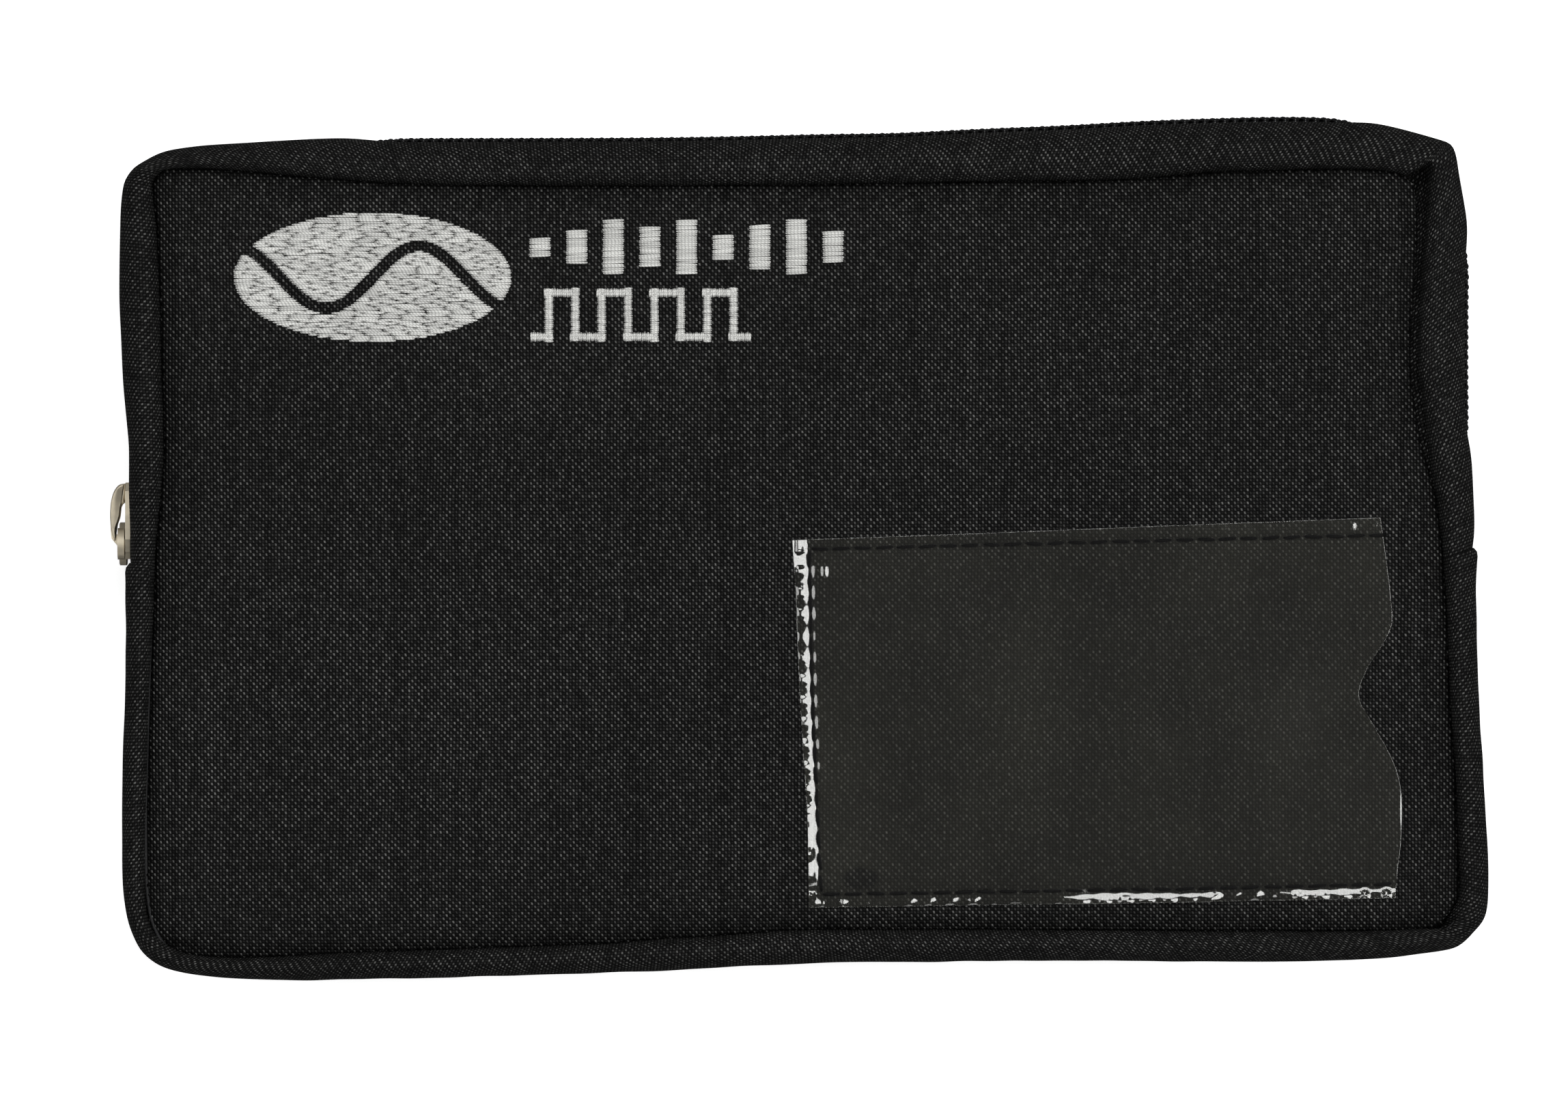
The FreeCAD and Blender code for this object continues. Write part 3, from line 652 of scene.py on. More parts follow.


# the outer cloth's bright warp floats and its wide range of float brightness are painted glints on the shiny yarn
CLOTH = woven("outer_cloth", 0.52, (0.0003, 0.0003, 0.0003), (0.0138, 0.0138, 0.0134), (0.080, 0.080, 0.077), rough=0.50, depth=0.00033, specular=0.10, tone_and_glint_spread=(0.30, 2.0))
LINING = woven("lining_cloth", 0.34, (0.006, 0.006, 0.0065), (0.016, 0.016, 0.017), (0.022, 0.022, 0.023), rough=0.42, depth=0.00006, specular=0.5, lean=0.0, tone_and_glint_spread=(0.8, 1.2))
BINDING = woven("binding_tape", 0.42, (0.003, 0.003, 0.003), (0.012, 0.012, 0.012), (0.02, 0.02, 0.02), rough=0.5, depth=0.0001, lean=0.0, tone_and_glint_spread=(0.8, 1.2))
TAPE = herringbone("zipper_tape", 0.9, (0.004, 0.004, 0.004), (0.02, 0.02, 0.02))
FOAM = foam_material("foam", (0.045, 0.045, 0.05))
COIL = coil_plastic("zipper_coil")
METAL = nickel("slider_metal")
STOP_METAL = nickel("stop_metal", (0.42, 0.41, 0.39))
BLACK_THREAD = thread("black_thread", (0.0006, 0.0006, 0.0006), (0.004, 0.004, 0.004), rough=0.6, sheen=0.0, specular=0.1)
SILVER_THREAD = thread("silver_thread", (0.20, 0.20, 0.19), (0.80, 0.80, 0.77), rough=0.30, twist=0.55, sheen=0.15, jitter=0.35)
VINYL = vinyl_material("clear_vinyl")


# ---------------------------------------------------------------------------------------------------
# Shared tables by column
# ---------------------------------------------------------------------------------------------------
def span(c0, c1):
    """Columns from c0 to c1, clockwise, both included."""
    return np.arange(c0, (c1 if c1 >= c0 else c1 + NCOL) + 1)


COLS = np.arange(NCOL)
IS_TOP = (COLS >= TOP0) & (COLS < RIGHT0)
IS_RIGHT = (COLS >= RIGHT0) & (COLS < BOTTOM0)
IS_LEFT = COLS >= LEFT0
OX, OY = O[:, 0], O[:, 1]
# where the coil shows past the cloth, seen from the front
SHOWS = np.where(IS_TOP, smooth(-74, -64, OX) * (1 - smooth(87, 94, OX)), 0) + np.where(IS_RIGHT, smooth(14, 22, OY) * (1 - smooth(46, 53, OY)), 0)
SHOWS = smooth_loop(SHOWS[:, None], 6)[:, 0]
WF = W - 0.85 * SHOWS                       # outer face of the zipper's cloth strips

ZIP = span(COL_L - 4, COL_R + 4)            # the zipped part, over the top, with both ends under the gusset
BASE = span(COL_R, COL_L)                   # the gusset round the bottom


def loop_distance(c, cols):
    """Distance along the outline from column c, in mm."""
    d = np.abs(ARC[np.asarray(cols) % NCOL] - ARC[c])
    return np.minimum(d, ARC[-1] - d)


def finish_piece(ob, body, nodes, fold=False):
    if fold:
        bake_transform(ob)
    else:
        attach(ob, body)
    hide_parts(*nodes)
    return ob


def declare(P, width, length):
    """width and length in mm; the cut isn't quite a rectangle, so the width is widened to cover its area. The result is
    neither kept nor returned.
    """
    area = area_of(P) * 1e-6
    w, l = width * MM, length * MM
    if area > w * l:
        w = area / l * 1.0005


# ---------------------------------------------------------------------------------------------------
# Panels
# ---------------------------------------------------------------------------------------------------
def bilinear(F, nr, nc):
    """F resampled to nr rows and nc columns, smoothly."""
    r = np.linspace(0, F.shape[0] - 1, nr)
    c = np.linspace(0, F.shape[1] - 1, nc)

    def axis(A, t):
        i = np.clip(np.floor(t).astype(int), 0, len(A) - 2)
        f = (t - i).reshape((-1,) + (1,) * (A.ndim - 1))
        im, ip2 = np.clip(i - 1, 0, len(A) - 1), np.clip(i + 2, 0, len(A) - 1)
        a, b, d, e = A[im], A[i], A[i + 1], A[ip2]
        return 0.5 * (2 * b + (d - a) * f + (2 * a - 5 * b + 4 * d - e) * f ** 2 + (3 * b - a - 3 * d + e) * f ** 3)
    return axis(axis(F, r).swapaxes(0, 1), c).swapaxes(0, 1)


def relaxed(P, push, shrink, frames, stiff=6.0):
    """Height that a sewn cloth gains when its filling pushes it up: the border is held, the rest is simulated."""
    nr, nc = P.shape[:2]
    q, _ = grid_faces(nr, nc, False)
    me = bpy.data.meshes.new("relaxing")
    me.from_pydata([tuple(v) for v in P.reshape(-1, 3) * MM], [], q.tolist())
    ob = bpy.data.objects.new("relaxing", me)
    bpy.context.scene.collection.objects.link(ob)
    pin = ob.vertex_groups.new(name="pin")
    idx = np.arange(nr * nc).reshape(nr, nc)
    edge = np.concatenate([idx[0], idx[-1], idx[1:-1, 0], idx[1:-1, -1]])
    pin.add([int(i) for i in edge], 1.0, "REPLACE")
    mod = ob.modifiers.new("cloth", "CLOTH")
    s = mod.settings
    s.quality = 6
    s.mass = 0.2
    s.tension_stiffness = s.compression_stiffness = 25
    s.shear_stiffness = 8
    s.bending_stiffness = stiff
    s.tension_damping = s.compression_damping = s.shear_damping = 5
    s.air_damping = 3
    s.vertex_group_mass = "pin"
    s.use_pressure = True
    s.uniform_pressure_force = push
    s.shrink_min = shrink
    s.effector_weights.gravity = 0
    mod.collision_settings.use_collision = False
    mod.collision_settings.use_self_collision = False
    mod.point_cache.frame_start = 1
    mod.point_cache.frame_end = frames
    for f in range(1, frames + 1):
        bpy.context.scene.frame_set(f)
    ev = ob.evaluated_get(bpy.context.evaluated_depsgraph_get())
    co = np.empty(nr * nc * 3)
    ev.data.vertices.foreach_get("co", co)
    rise = co.reshape(nr, nc, 3)[..., 2] / MM - P[..., 2]
    bpy.data.objects.remove(ob)
    bpy.data.meshes.remove(me)
    bpy.context.scene.frame_set(1)
    return rise


NC_P, NR_P = 250, 150
front_flat = panel_grid(S, NC_P, NR_P)
front_d = edge_distance(front_flat, S)


def front_level(P2, d):
    x, y = P2[..., 0], P2[..., 1]
    z = 26.4 + 2.3 * (1 - np.exp(-d / 1.25)) + 1.35 * (1 - np.exp(-d / 6.5))
    near = np.exp(-d / 11.0)
    z = z + 0.28 * waves(x, y, 48, 11) * smooth(0, 12, d) + near * (0.26 * waves(x, y, 16, 12) + 0.1 * waves(x, y, 7.5, 13))
    # puckers where the right seam pulls, and dimples under the top seam
    pull = smooth(80, 96, x) * smooth(4, 14, y) * (1 - smooth(50, 58, y)) * smooth(0, 4, d)
    z = z + 0.42 * pull * waves(x + 0.9 * y, 0.35 * (y - x), 11, 21)
    top = smooth(46, 54, y) * smooth(0, 3, d)
    z = z + 0.16 * top * waves(x, y, 9, 22)
    return z


coarse = panel_grid(S, 126, 76)
coarse3 = np.dstack([coarse, front_level(coarse, edge_distance(coarse, S))])
rise = relaxed(coarse3, 0.6, -0.004, 20)
print("front cover: the simulation moved it", rise.min(), rise.max(), np.percentile(rise, [5, 50, 95]))
rise = np.clip(rise / max(np.percentile(np.abs(rise), 98), 1e-6) * 0.7, -0.6, 1.2)
rise = bilinear(rise[..., None], NR_P, NC_P)[..., 0] * smooth(0, 6, front_d)
# the film sewn on top stiffens the cloth under it
beside = np.maximum(np.maximum(-10.0 - front_flat[..., 0], front_flat[..., 0] - 106.0), np.maximum(-64.0 - front_flat[..., 1], front_flat[..., 1] - 12.0))
rise = rise * (0.2 + 0.8 * smooth(0, 16, beside))
front_P = np.dstack([front_flat, front_level(front_flat, front_d) + rise])
front_cover = sheet_mesh("front_cover", front_P, 0.8, CLOTH, front_flat * 1.0)
finish_piece(front_cover, None, ("front_panel_lower", "front_panel_upper"), fold=True)
declare(front_P, 212, 127)

q, _ = grid_faces(NR_P, NC_P, False)
TOPTREE = BVHTree.FromPolygons([tuple(v) for v in front_P.reshape(-1, 3)], q.tolist())


def height(x, y):
    hit = TOPTREE.ray_cast(Vector((x, y, 60)), Vector((0, 0, -1)))
    return hit[0].z if hit[0] is not None else 30.0


def heights(xy):
    return np.array([height(float(x), float(y)) for x, y in xy])


# padding and lining under the front
fill_loop = inset(S, 1.9)
fill_flat = panel_grid(fill_loop, 120, 74)
fill_d = edge_distance(fill_flat, fill_loop)
top_z = np.minimum(heights(fill_flat.reshape(-1, 2)).reshape(fill_flat.shape[:2]) - 0.95, 29.6)
top_z = np.minimum(top_z, 26.7 + 3.0 * (1 - np.exp(-(fill_d + 0.3) / 0.6)))
bottom_z = 26.25 + 0.25 * np.exp(-fill_d / 0.5)
front_padding = sheet_mesh("front_padding", np.dstack([fill_flat, top_z]), 0, FOAM, fill_flat, inner=np.dstack([fill_flat, bottom_z]))
finish_piece(front_padding, None, ("front_foam_lower", "front_foam_upper"), fold=True)

lin_P = np.dstack([fill_flat, 25.8 + 0.12 * waves(fill_flat[..., 0], fill_flat[..., 1], 24, 31) * smooth(0, 6, fill_d) + 0.35 * np.exp(-fill_d / 1.2)])
front_lining = sheet_mesh("front_lining_sheet", lin_P, 0.4, LINING, fill_flat, out=-1)
finish_piece(front_lining, None, ("front_lining_lower", "front_lining_upper"), fold=True)
declare(lin_P, 206, 121)

# back
BSEAM = O - N2 * 5.0
back_flat = panel_grid(BSEAM, 180, 110)
back_d = edge_distance(back_flat, BSEAM)
coarse = panel_grid(BSEAM, 90, 56)
coarse3 = np.dstack([coarse, np.zeros(coarse.shape[:2])])
brise = relaxed(coarse3, 0.6, -0.004, 16)
brise = np.clip(brise / max(np.percentile(np.abs(brise), 98), 1e-6), 0, 1)
brise = bilinear(brise[..., None], 110, 180)[..., 0]
back_z = 1.9 * np.exp(-back_d / 1.3) + 0.28 * (1 - brise) * np.exp(-back_d / 14)
back_P = np.dstack([back_flat, np.maximum(back_z, 0.0)])
back_cover = sheet_mesh("back_cover", back_P, 0.8, CLOTH, back_flat, out=-1)
finish_piece(back_cover, "case_body", ("back_panel",))
declare(back_P, 212, 131)

bfill_loop = inset(BSEAM, 1.9)
bfill = panel_grid(bfill_loop, 110, 68)
bfill_d = edge_distance(bfill, bfill_loop)
bz = 0.95 + 1.9 * np.exp(-(bfill_d + 1.9) / 1.3) + 0.28 * np.exp(-bfill_d / 14) + 0.2 * np.exp(-bfill_d / 0.6)
bt = 3.75 - 0.7 * np.exp(-bfill_d / 0.6)
back_padding = sheet_mesh("back_padding", np.dstack([bfill, bt]), 0, FOAM, bfill, inner=np.dstack([bfill, bz]))
finish_piece(back_padding, "case_body", ("back_foam",))
blin = np.dstack([bfill, 4.2 + 0.1 * waves(bfill[..., 0], bfill[..., 1], 26, 41) * smooth(0, 6, bfill_d) - 0.3 * np.exp(-bfill_d / 1.2)])
back_lining = sheet_mesh("back_lining_sheet", blin, 0.4, LINING, bfill)
finish_piece(back_lining, "case_body", ("back_lining",))
declare(blin, 206, 125)


# ---------------------------------------------------------------------------------------------------
# Bands of the gusset
# ---------------------------------------------------------------------------------------------------
def corner_pull(cols):
    """How far the corners pull the roll down: a crease across it at the top left, open pockets at the right."""
    c = np.asarray(cols) % NCOL
    crease = np.exp(-((loop_distance(NCOL - 3, c)) / 0.8) ** 2) + 0.8 * np.exp(-((loop_distance(BOTTOM0 - 1, c)) / 0.7) ** 2)
    after = ((c >= RIGHT0) & (c < BOTTOM0)).astype(float)
    pocket_t = after * np.exp(-((loop_distance(RIGHT0, c)) / 6.5) ** 2)
    pocket_b = np.exp(-((loop_distance(BOTTOM0 - 1, c)) / 3.0) ** 2)
    valley = after * smooth(6, 26, OY[c])
    return crease, pocket_t, pocket_b, valley


def rough_rows(rows, cols, seed, amount):
    """Uneven hand of the cloth along the roll: small lumps and drawn places."""
    c = np.asarray(cols) % NCOL
    a = ARC[c]
    out = []
    for i, (s, z) in enumerate(rows):
        k = math.sin(math.pi * i / (len(rows) - 1)) ** 0.5
        n1 = waves(a, np.full(a.shape, 3.0 * i), 14, seed)
        n2 = waves(a, np.full(a.shape, 2.0 * i), 5.5, seed + 1)
        out.append((s + 0.35 * amount * k * (0.7 * n1 + 0.4 * n2), z + amount * k * (0.8 * n1 + 0.5 * n2)))
    return out


def front_roll(cols, w):
    """The roll beside the front panel, from the groove to the widest line."""
    crease, pt, pb, va = corner_pull(cols)
    drop = 1.3 * crease + 2.4 * pt + 2.2 * pb
    return [(-0.4 + 0 * w, 25.6 - 0.5 * drop), (0.0 + 0.5 * pt + 0.9 * va, 26.6 - drop - 1.1 * va), (0.35 + 1.2 * pt + 0.8 * pb + 1.2 * va, 28.7 - drop - 2.3 * va), (np.minimum(1.0, 0.16 * w) + 1.6 * pt + pb + 1.0 * va, 30.25 - drop - 0.9 * va), (0.3 * w + 1.0 * pt + 0.5 * va, 31.0 - 0.85 * drop - 0.1 * va), (0.5 * w + 0.3 * va, 31.1 - 0.6 * drop), (0.72 * w + 0.2 * va, 29.9 - 0.4 * drop), (0.9 * w, 27.6 - 0.3 * crease)]


def band(name, cols, rows, per, thick, material, wrap=False):
    P = profile(cols, rows, per)
    UV = arc_uv(P)
    return P, sheet_mesh(name, P, thick, material, UV, wrap)


def tapering(rows, per, base, last):
    n = (len(rows) - 1) * per + 1
    t = np.full(n, base)
    t[-per:] = np.linspace(base, last, per)
    return t


c = ZIP % NCOL
under = 0.5 * (np.exp(-loop_distance(COL_L, c) / 4) + np.exp(-loop_distance(COL_R, c) / 4))
w = WF[c] - under
rows = front_roll(c, w) + [(w, 24.4), (w - 0.03, 22.2), (w - 0.12, 20.8), (w - 0.4, 20.0), (w - 0.8, 19.85)]
rows = rough_rows(rows[:-4], c, 51, 0.22) + rows[-4:]
P, front_strip = band("front_strip_cover", ZIP, rows, 4, 0.0 + 0.75, CLOTH)
finish_piece(front_strip, None, ("front_zip_strip", "front_zip_strip_ends"), fold=True)
declare(P, 18, 366)
strip_area = area_of(P)

BACK_ROLL = [(-0.1, 5.5), (-0.6, 3.0), (-1.8, 0.95), (-3.1, 0.12), (-4.1, 0.10), (-4.7, 0.65), (-5.0, 1.7), (-5.05, 2.6)]
# the pull tab hangs in front of the left leg, so the strip keeps back there
wb = w - np.clip(-108.7 - OX[c], 0, 1.2) * IS_LEFT[c] * smooth(4, 12, OY[c])
rows = [(wb - 0.8, 10.15), (wb - 0.4, 10.0), (wb - 0.12, 9.3), (wb - 0.02, 8.0)] + [(wb + s, z + 0 * w) for s, z in BACK_ROLL[:2]] + [(w + s, z + 0 * w) for s, z in BACK_ROLL[2:]]
P, back_strip = band("back_strip_cover", ZIP, rows, 3, 0.75, CLOTH)
finish_piece(back_strip, "case_body", ("back_zip_strip",))
declare(P, 18, 366)

c = BASE % NCOL
eR, eL = loop_distance(COL_R, c), loop_distance(COL_L, c)
over = 0.55 * (np.exp(-eR / 5) + np.exp(-eL / 5))
trim = 0.85 * (np.clip(1 - eR / 1.5, 0, 1) ** 2 + np.clip(1 - eL / 1.5, 0, 1) ** 2)
w = W[c] + over - trim
rows = front_roll(c, w)
rows = rows[:3] + [(s, z + 0.9 * over) for s, z in rows[3:]]
rows = rough_rows(rows + [(w, 24.3), (w - 0.15, 19.0), (w - 0.22, 13.0), (w - 0.08, 8.0)] + [(w + s, z + 0 * w) for s, z in BACK_ROLL[:1]], c, 61, 0.25) + [(w + s, z + 0 * w) for s, z in BACK_ROLL[1:]]
P, gusset = band("gusset_cover", BASE, rows, 4, 0.8, CLOTH)
finish_piece(gusset, "case_body", ("base_gusset",))
declare(P, 47, 352)


def closed_band(name, cols, pts, material, uvscale=1.0, wrap=False):
    """Closed section carried round the outline. pts is a list of (s, z), anticlockwise or not."""
    c = np.asarray(cols) % NCOL
    m, n = len(pts), len(c)
    P = np.zeros((m, n, 3))
    for i, (s, z) in enumerate(pts):
        P[i, :, :2] = S[c] + N2[c] * np.broadcast_to(s, (n,))[:, None]
        P[i, :, 2] = z
    q, uq = [], []
    per = np.concatenate([[0], np.cumsum(np.linalg.norm(np.diff(np.concatenate([P, P[:1]]), axis=0), axis=2).mean(axis=1))])
    u = np.concatenate([[0], np.cumsum(np.linalg.norm(np.diff(P, axis=1), axis=2).mean(axis=0))])
    last = n if wrap else n - 1
    for i in range(m):
        j = (i + 1) % m
        for k in range(last):
            k2 = (k + 1) % n
            q.append((i * n + k, i * n + k2, j * n + k2, j * n + k))
            uk2 = u[k + 1] if k + 1 < n else u[-1] + 0.8
            uq += [(u[k], per[i]), (uk2, per[i]), (uk2, per[i + 1]), (u[k], per[i + 1])]
    if not wrap:
        q.append(tuple(i * n for i in range(m)))
        uq += [(0.0, 0.0)] * m
        q.append(tuple(i * n + n - 1 for i in range(m)))
        uq += [(0.0, 0.0)] * m
    ob = new_object(name, P.reshape(-1, 3), q, material, np.array(uq))
    fix_normals(ob)
    return ob


def slab_section(s0, s1, z0, z1, r, n=3):
    """Rounded rectangle between s0 and s1 (arrays or numbers) and z0 and z1."""
    out = []
    for cs, cz, a0 in ((s1 - r, z1 - r, 0), (s0 + r, z1 - r, 90), (s0 + r, z0 + r, 180), (s1 - r, z0 + r, 270)):
        for k in range(n + 1):
            a = math.radians(a0 + 90 * k / n)
            out.append((cs + r * math.cos(a), cz + r * math.sin(a)))
    return out


c = BASE % NCOL
gpad = closed_band("gusset_padding", span(COL_R + 3, COL_L - 3), slab_section(W[span(COL_R + 3, COL_L - 3) % NCOL] - 3.1, W[span(COL_R + 3, COL_L - 3) % NCOL] - 1.05, 3.4, 26.2, 0.6), FOAM)
finish_piece(gpad, "case_body", ("base_gusset_foam",))


def lining_band(name, cols, rows, nodes, width, length, fold=False, body="case_body"):
    P = profile(cols, rows, 3)
    ob = sheet_mesh(name, P, 0.4, LINING, arc_uv(P))
    finish_piece(ob, body, nodes, fold=fold)
    declare(P, width, length)
    return ob


c = BASE % NCOL
w = W[c] - 3.25
lining_band("gusset_lining", BASE, [(w - 0.6, 27.6), (w - 0.1, 25.8), (w, 22.0), (w, 15.0), (w, 8.0), (w - 0.1, 4.6), (w - 0.7, 2.6)], ("base_gusset_lining",), 26, 352)

# zipper: tape, rows and stops follow one line
EXTRA = 0.7 * (1 - SHOWS)
ST = W - 1.85 - EXTRA
straight = np.where(IS_LEFT, 1 - smooth(54, 60, OY), 0.0)
ST = np.where(IS_LEFT, straight * (-105.9 - S[:, 0]) / np.where(np.abs(N2[:, 0]) < 0.3, -0.3, N2[:, 0]) + (1 - straight) * ST, ST)
ST = np.where(IS_LEFT & (OY > 50), smooth_loop(ST[:, None], 10)[:, 0], ST)

c = ZIP % NCOL
w = ST[c] - 0.62
crease, pt, pb, va = corner_pull(ZIP)
low = 2.6 * pt + 2.0 * pb + 1.4 * va + 1.2 * crease
lining_band("front_strip_lining", ZIP, [(np.minimum(0.6, w - 0.6) + 0.3 * va, 25.4 - low), (np.maximum(w - 0.8, 0.5), 25.5 - low), (w, 24.3 - 0.7 * low), (w, 21.0), (w, 18.0)], ("front_zip_lining", "front_zip_lining_ends"), 12, 362, fold=True)
lining_band("back_strip_lining", ZIP, [(w, 12.0), (w, 9.0), (w, 5.4), (w - 0.5, 4.2), (w - 1.2, 3.2)], ("back_zip_lining",), 11, 362)

TC = span(COL_L - 3, COL_R + 3)
c = TC % NCOL
tape_front = closed_band("tape_front", TC, slab_section(ST[c] - 0.5, ST[c], 15.55, 25.4, 0.18, 2), TAPE)
finish_piece(tape_front, None, ("zipper_tape_front", "zipper_tape_front_ends"), fold=True)
tape_back = closed_band("tape_back", TC, slab_section(ST[c] - 0.5, ST[c], 4.6, 14.45, 0.18, 2), TAPE)
finish_piece(tape_back, "case_body", ("zipper_tape_back",))

bind_f = closed_band("front_binding", COLS, slab_section(np.full(NCOL, -1.7), np.full(NCOL, -0.25), 21.8, 25.35, 0.45), BINDING, wrap=True)
finish_piece(bind_f, None, ("front_seam_binding_lower", "front_seam_binding_upper"), fold=True)
BS = W - 5.0
bind_b = closed_band("back_binding", COLS, slab_section(BS - 1.7, BS - 0.2, 3.0, 6.9, 0.45), BINDING, wrap=True)
finish_piece(bind_b, "case_body", ("back_seam_binding",))


def coil_row(name, centre, phase, hand):
    cols = span(COL_L - 1, COL_R + 1) % NCOL
    T = S[cols] + N2[cols] * ST[cols][:, None]
    seg = np.linalg.norm(np.diff(T, axis=0), axis=1)
    total = seg.sum()
    turns = int(round(total / 1.62))
    steps = 16
    n = turns * steps + 1
    arc = np.concatenate([[0], np.cumsum(seg)])
    t = np.linspace(0, total, n)
    px, py = np.interp(t, arc, T[:, 0]), np.interp(t, arc, T[:, 1])
    nx, ny = np.interp(t, arc, N2[cols, 0]), np.interp(t, arc, N2[cols, 1])
    # normals of the smoothed line itself
    k = 24
    ker = np.ones(k) / k
    dx, dy = np.gradient(px), np.gradient(py)
    dx = np.convolve(np.pad(dx, k, mode="edge"), ker, "same")[k:-k]
    dy = np.convolve(np.pad(dy, k, mode="edge"), ker, "same")[k:-k]
    ln = np.hypot(dx, dy)
    tx, ty = dx / ln, dy / ln
    ox, oy = -ty, tx                       # left of the clockwise direction is outwards
    a = 2 * math.pi * (t / total * turns + phase)
    # a loop is a flattened ring with a broad head towards the middle
    d = 0.93 + 0.62 * np.cos(a)
    z = centre + hand * 1.42 * np.sin(a)
    lead = 0.30 * np.sin(2 * a) * 1.62 / 4
    path = np.stack([px + ox * d + tx * lead, py + oy * d + ty * lead, z], -1)
    return tubes(name, [path], 0.37, 8, COIL, up=(0.0, 0.0, 1.0))


coil_front = coil_row("coil_front", 16.42, 0.0, 1)
finish_piece(coil_front, None, ("zipper_coil_front", "zipper_coil_front_ends"), fold=True)
coil_back = coil_row("coil_back", 13.58, 0.5, 1)
finish_piece(coil_back, "case_body", ("zipper_coil_back",))


def clamp(name, col, z0, z1, length, nodes):
    """Small crimped metal stop round the coil, as one or more rounded blocks."""
    parts = []
    verts, faces = [], []
    for (a, b) in zip(z0, z1):
        cols = np.arange(col, col + 2) % NCOL
        p = S[cols[0]] + N2[cols[0]] * (ST[cols[0]] + 0.95)
        n = N2[cols[0]]
        t = np.array([n[1], -n[0]])
        base = len(verts)
        bm = bmesh.new()
        bmesh.ops.create_cube(bm, size=1.0)
        bmesh.ops.bevel(bm, geom=bm.edges[:], offset=0.22, segments=3, affect="EDGES", profile=0.5)
        for v in bm.verts:
            q = p + t * v.co.x * length + n * v.co.y * 2.3
            verts.append((q[0], q[1], (a + b) / 2 + v.co.z * (b - a)))
        bm.verts.index_update()
        for f in bm.faces:
            faces.append([base + v.index for v in f.verts])
        bm.free()
    ob = new_object(name, verts, faces, STOP_METAL, None)
    fix_normals(ob)
    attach(ob, "case_body")
    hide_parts(*nodes)
    return ob


clamp("top_stops", COL_L - 1, (15.1, 11.7), (18.3, 14.9), 2.2, ("zipper_top_stops",))
clamp("bottom_stop", COL_R + 1, (11.7,), (18.3,), 3.4, ("zipper_bottom_stop",))


# ---------------------------------------------------------------------------------------------------
# Card window and its stitches
# ---------------------------------------------------------------------------------------------------
NU, NV = 236, 170


def dense_ends(n, share=0.28, reach=0.06):
    """0..1 in n steps, closer together within reach of both ends."""
    k = int(n * share)
    a = np.linspace(0, reach, k, endpoint=False)
    return np.concatenate([a, np.linspace(reach, 1 - reach, n - 2 * k), 1 - a[::-1]])


w_top = resample(catmull([(-0.9, 1.6), (30, 2.7), (62, 4.0), (93.9, 5.2)], 12), NU)
w_bottom = resample(catmull([(1.8, -57.7), (30, -57.3), (62, -56.8), (96.3, -56.1)], 12), NU)
w_left = resample(catmull([(1.8, -57.7), (1.7, -50.0), (1.5, -42.0), (0.9, -33.0), (0.4, -24.7), (-0.1, -14.0), (-0.3, -7.4), (-0.9, 1.6)], 12), NV)
w_right = resample(catmull([(96.3, -56.1), (96.6, -52.0), (97.2, -46.7), (97.2, -38.8), (95.9, -34.0), (92.4, -27.6), (90.4, -23.6), (91.8, -19.0), (94.5, -14.8), (95.7, -12.0), (95.6, -8.1), (94.6, 0.0), (93.9, 5.2)], 12), NV)
win = coons(w_top, w_right, w_bottom, w_left)


def regrid(G, us, vs):
    """Grid resampled at shares us of its columns and vs of its rows."""
    cu, rv = us * (G.shape[1] - 1), vs * (G.shape[0] - 1)
    i, j = np.clip(cu.astype(int), 0, G.shape[1] - 2), np.clip(rv.astype(int), 0, G.shape[0] - 2)
    fu, fv = (cu - i)[None, :, None], (rv - j)[:, None, None]
    a, b = G[j][:, i], G[j][:, i + 1]
    c, d = G[j + 1][:, i], G[j + 1][:, i + 1]
    return (a * (1 - fu) + b * fu) * (1 - fv) + (c * (1 - fu) + d * fu) * fv


win = regrid(win, dense_ends(NU), dense_ends(NV, 0.28, 0.075))


def polyline_distance(P2, pts):
    """Distance to an open line, and how far along it the nearest point is."""
    fine = resample(np.asarray(pts, float), 700)
    flat = P2.reshape(-1, 2)
    best = np.full(len(flat), 1e9)
    where = np.zeros(len(flat))
    step = np.linalg.norm(fine[1] - fine[0])
    for i in range(0, len(flat), 4000):
        d = np.linalg.norm(flat[i:i + 4000, None] - fine[None], axis=2)
        k = d.argmin(axis=1)
        best[i:i + 4000] = d[np.arange(len(k)), k]
        where[i:i + 4000] = k * step
    return best.reshape(P2.shape[:2]), where.reshape(P2.shape[:2])


STITCH_LINES = {
    "top": [(1.9, 0.1), (30, 0.8), (62, 1.6), (95.2, 2.4)],
    "left": [(1.9, 0.1), (2.1, -12.0), (2.4, -24.7), (3.1, -40.0), (3.8, -55.5)],
    "bottom": [(3.8, -55.5), (30, -55.1), (62, -54.6), (96.1, -53.8)],
}
EDGES = {"top": w_top, "left": w_left[::-1], "bottom": w_bottom}


def calm_height(P2, x0=-12.0, x1=104.0, y0=-64.0, y1=16.0, step=4.4):
    """Height of the front without its smallest unevenness: a cubic spline over a coarse grid."""
    gx, gy = np.arange(x0, x1 + step, step), np.arange(y0, y1 + step, step)
    H = heights(np.array([(u, v) for v in gy for u in gx])).reshape(len(gy), len(gx))
    u, v = (P2[..., 0] - x0) / step, (P2[..., 1] - y0) / step
    i, j = np.floor(u).astype(int), np.floor(v).astype(int)
    fu, fv = u - i, v - j

    def weights(f):
        return ((1 - f) ** 3 / 6, (3 * f ** 3 - 6 * f ** 2 + 4) / 6, (-3 * f ** 3 + 3 * f ** 2 + 3 * f + 1) / 6, f ** 3 / 6)
    wu, wv = weights(fu), weights(fv)
    z = np.zeros(u.shape)
    for b in range(4):
        for a in range(4):
            z += wv[b] * wu[a] * H[np.clip(j + b - 1, 0, len(gy) - 1), np.clip(i + a - 1, 0, len(gx) - 1)]
    return z


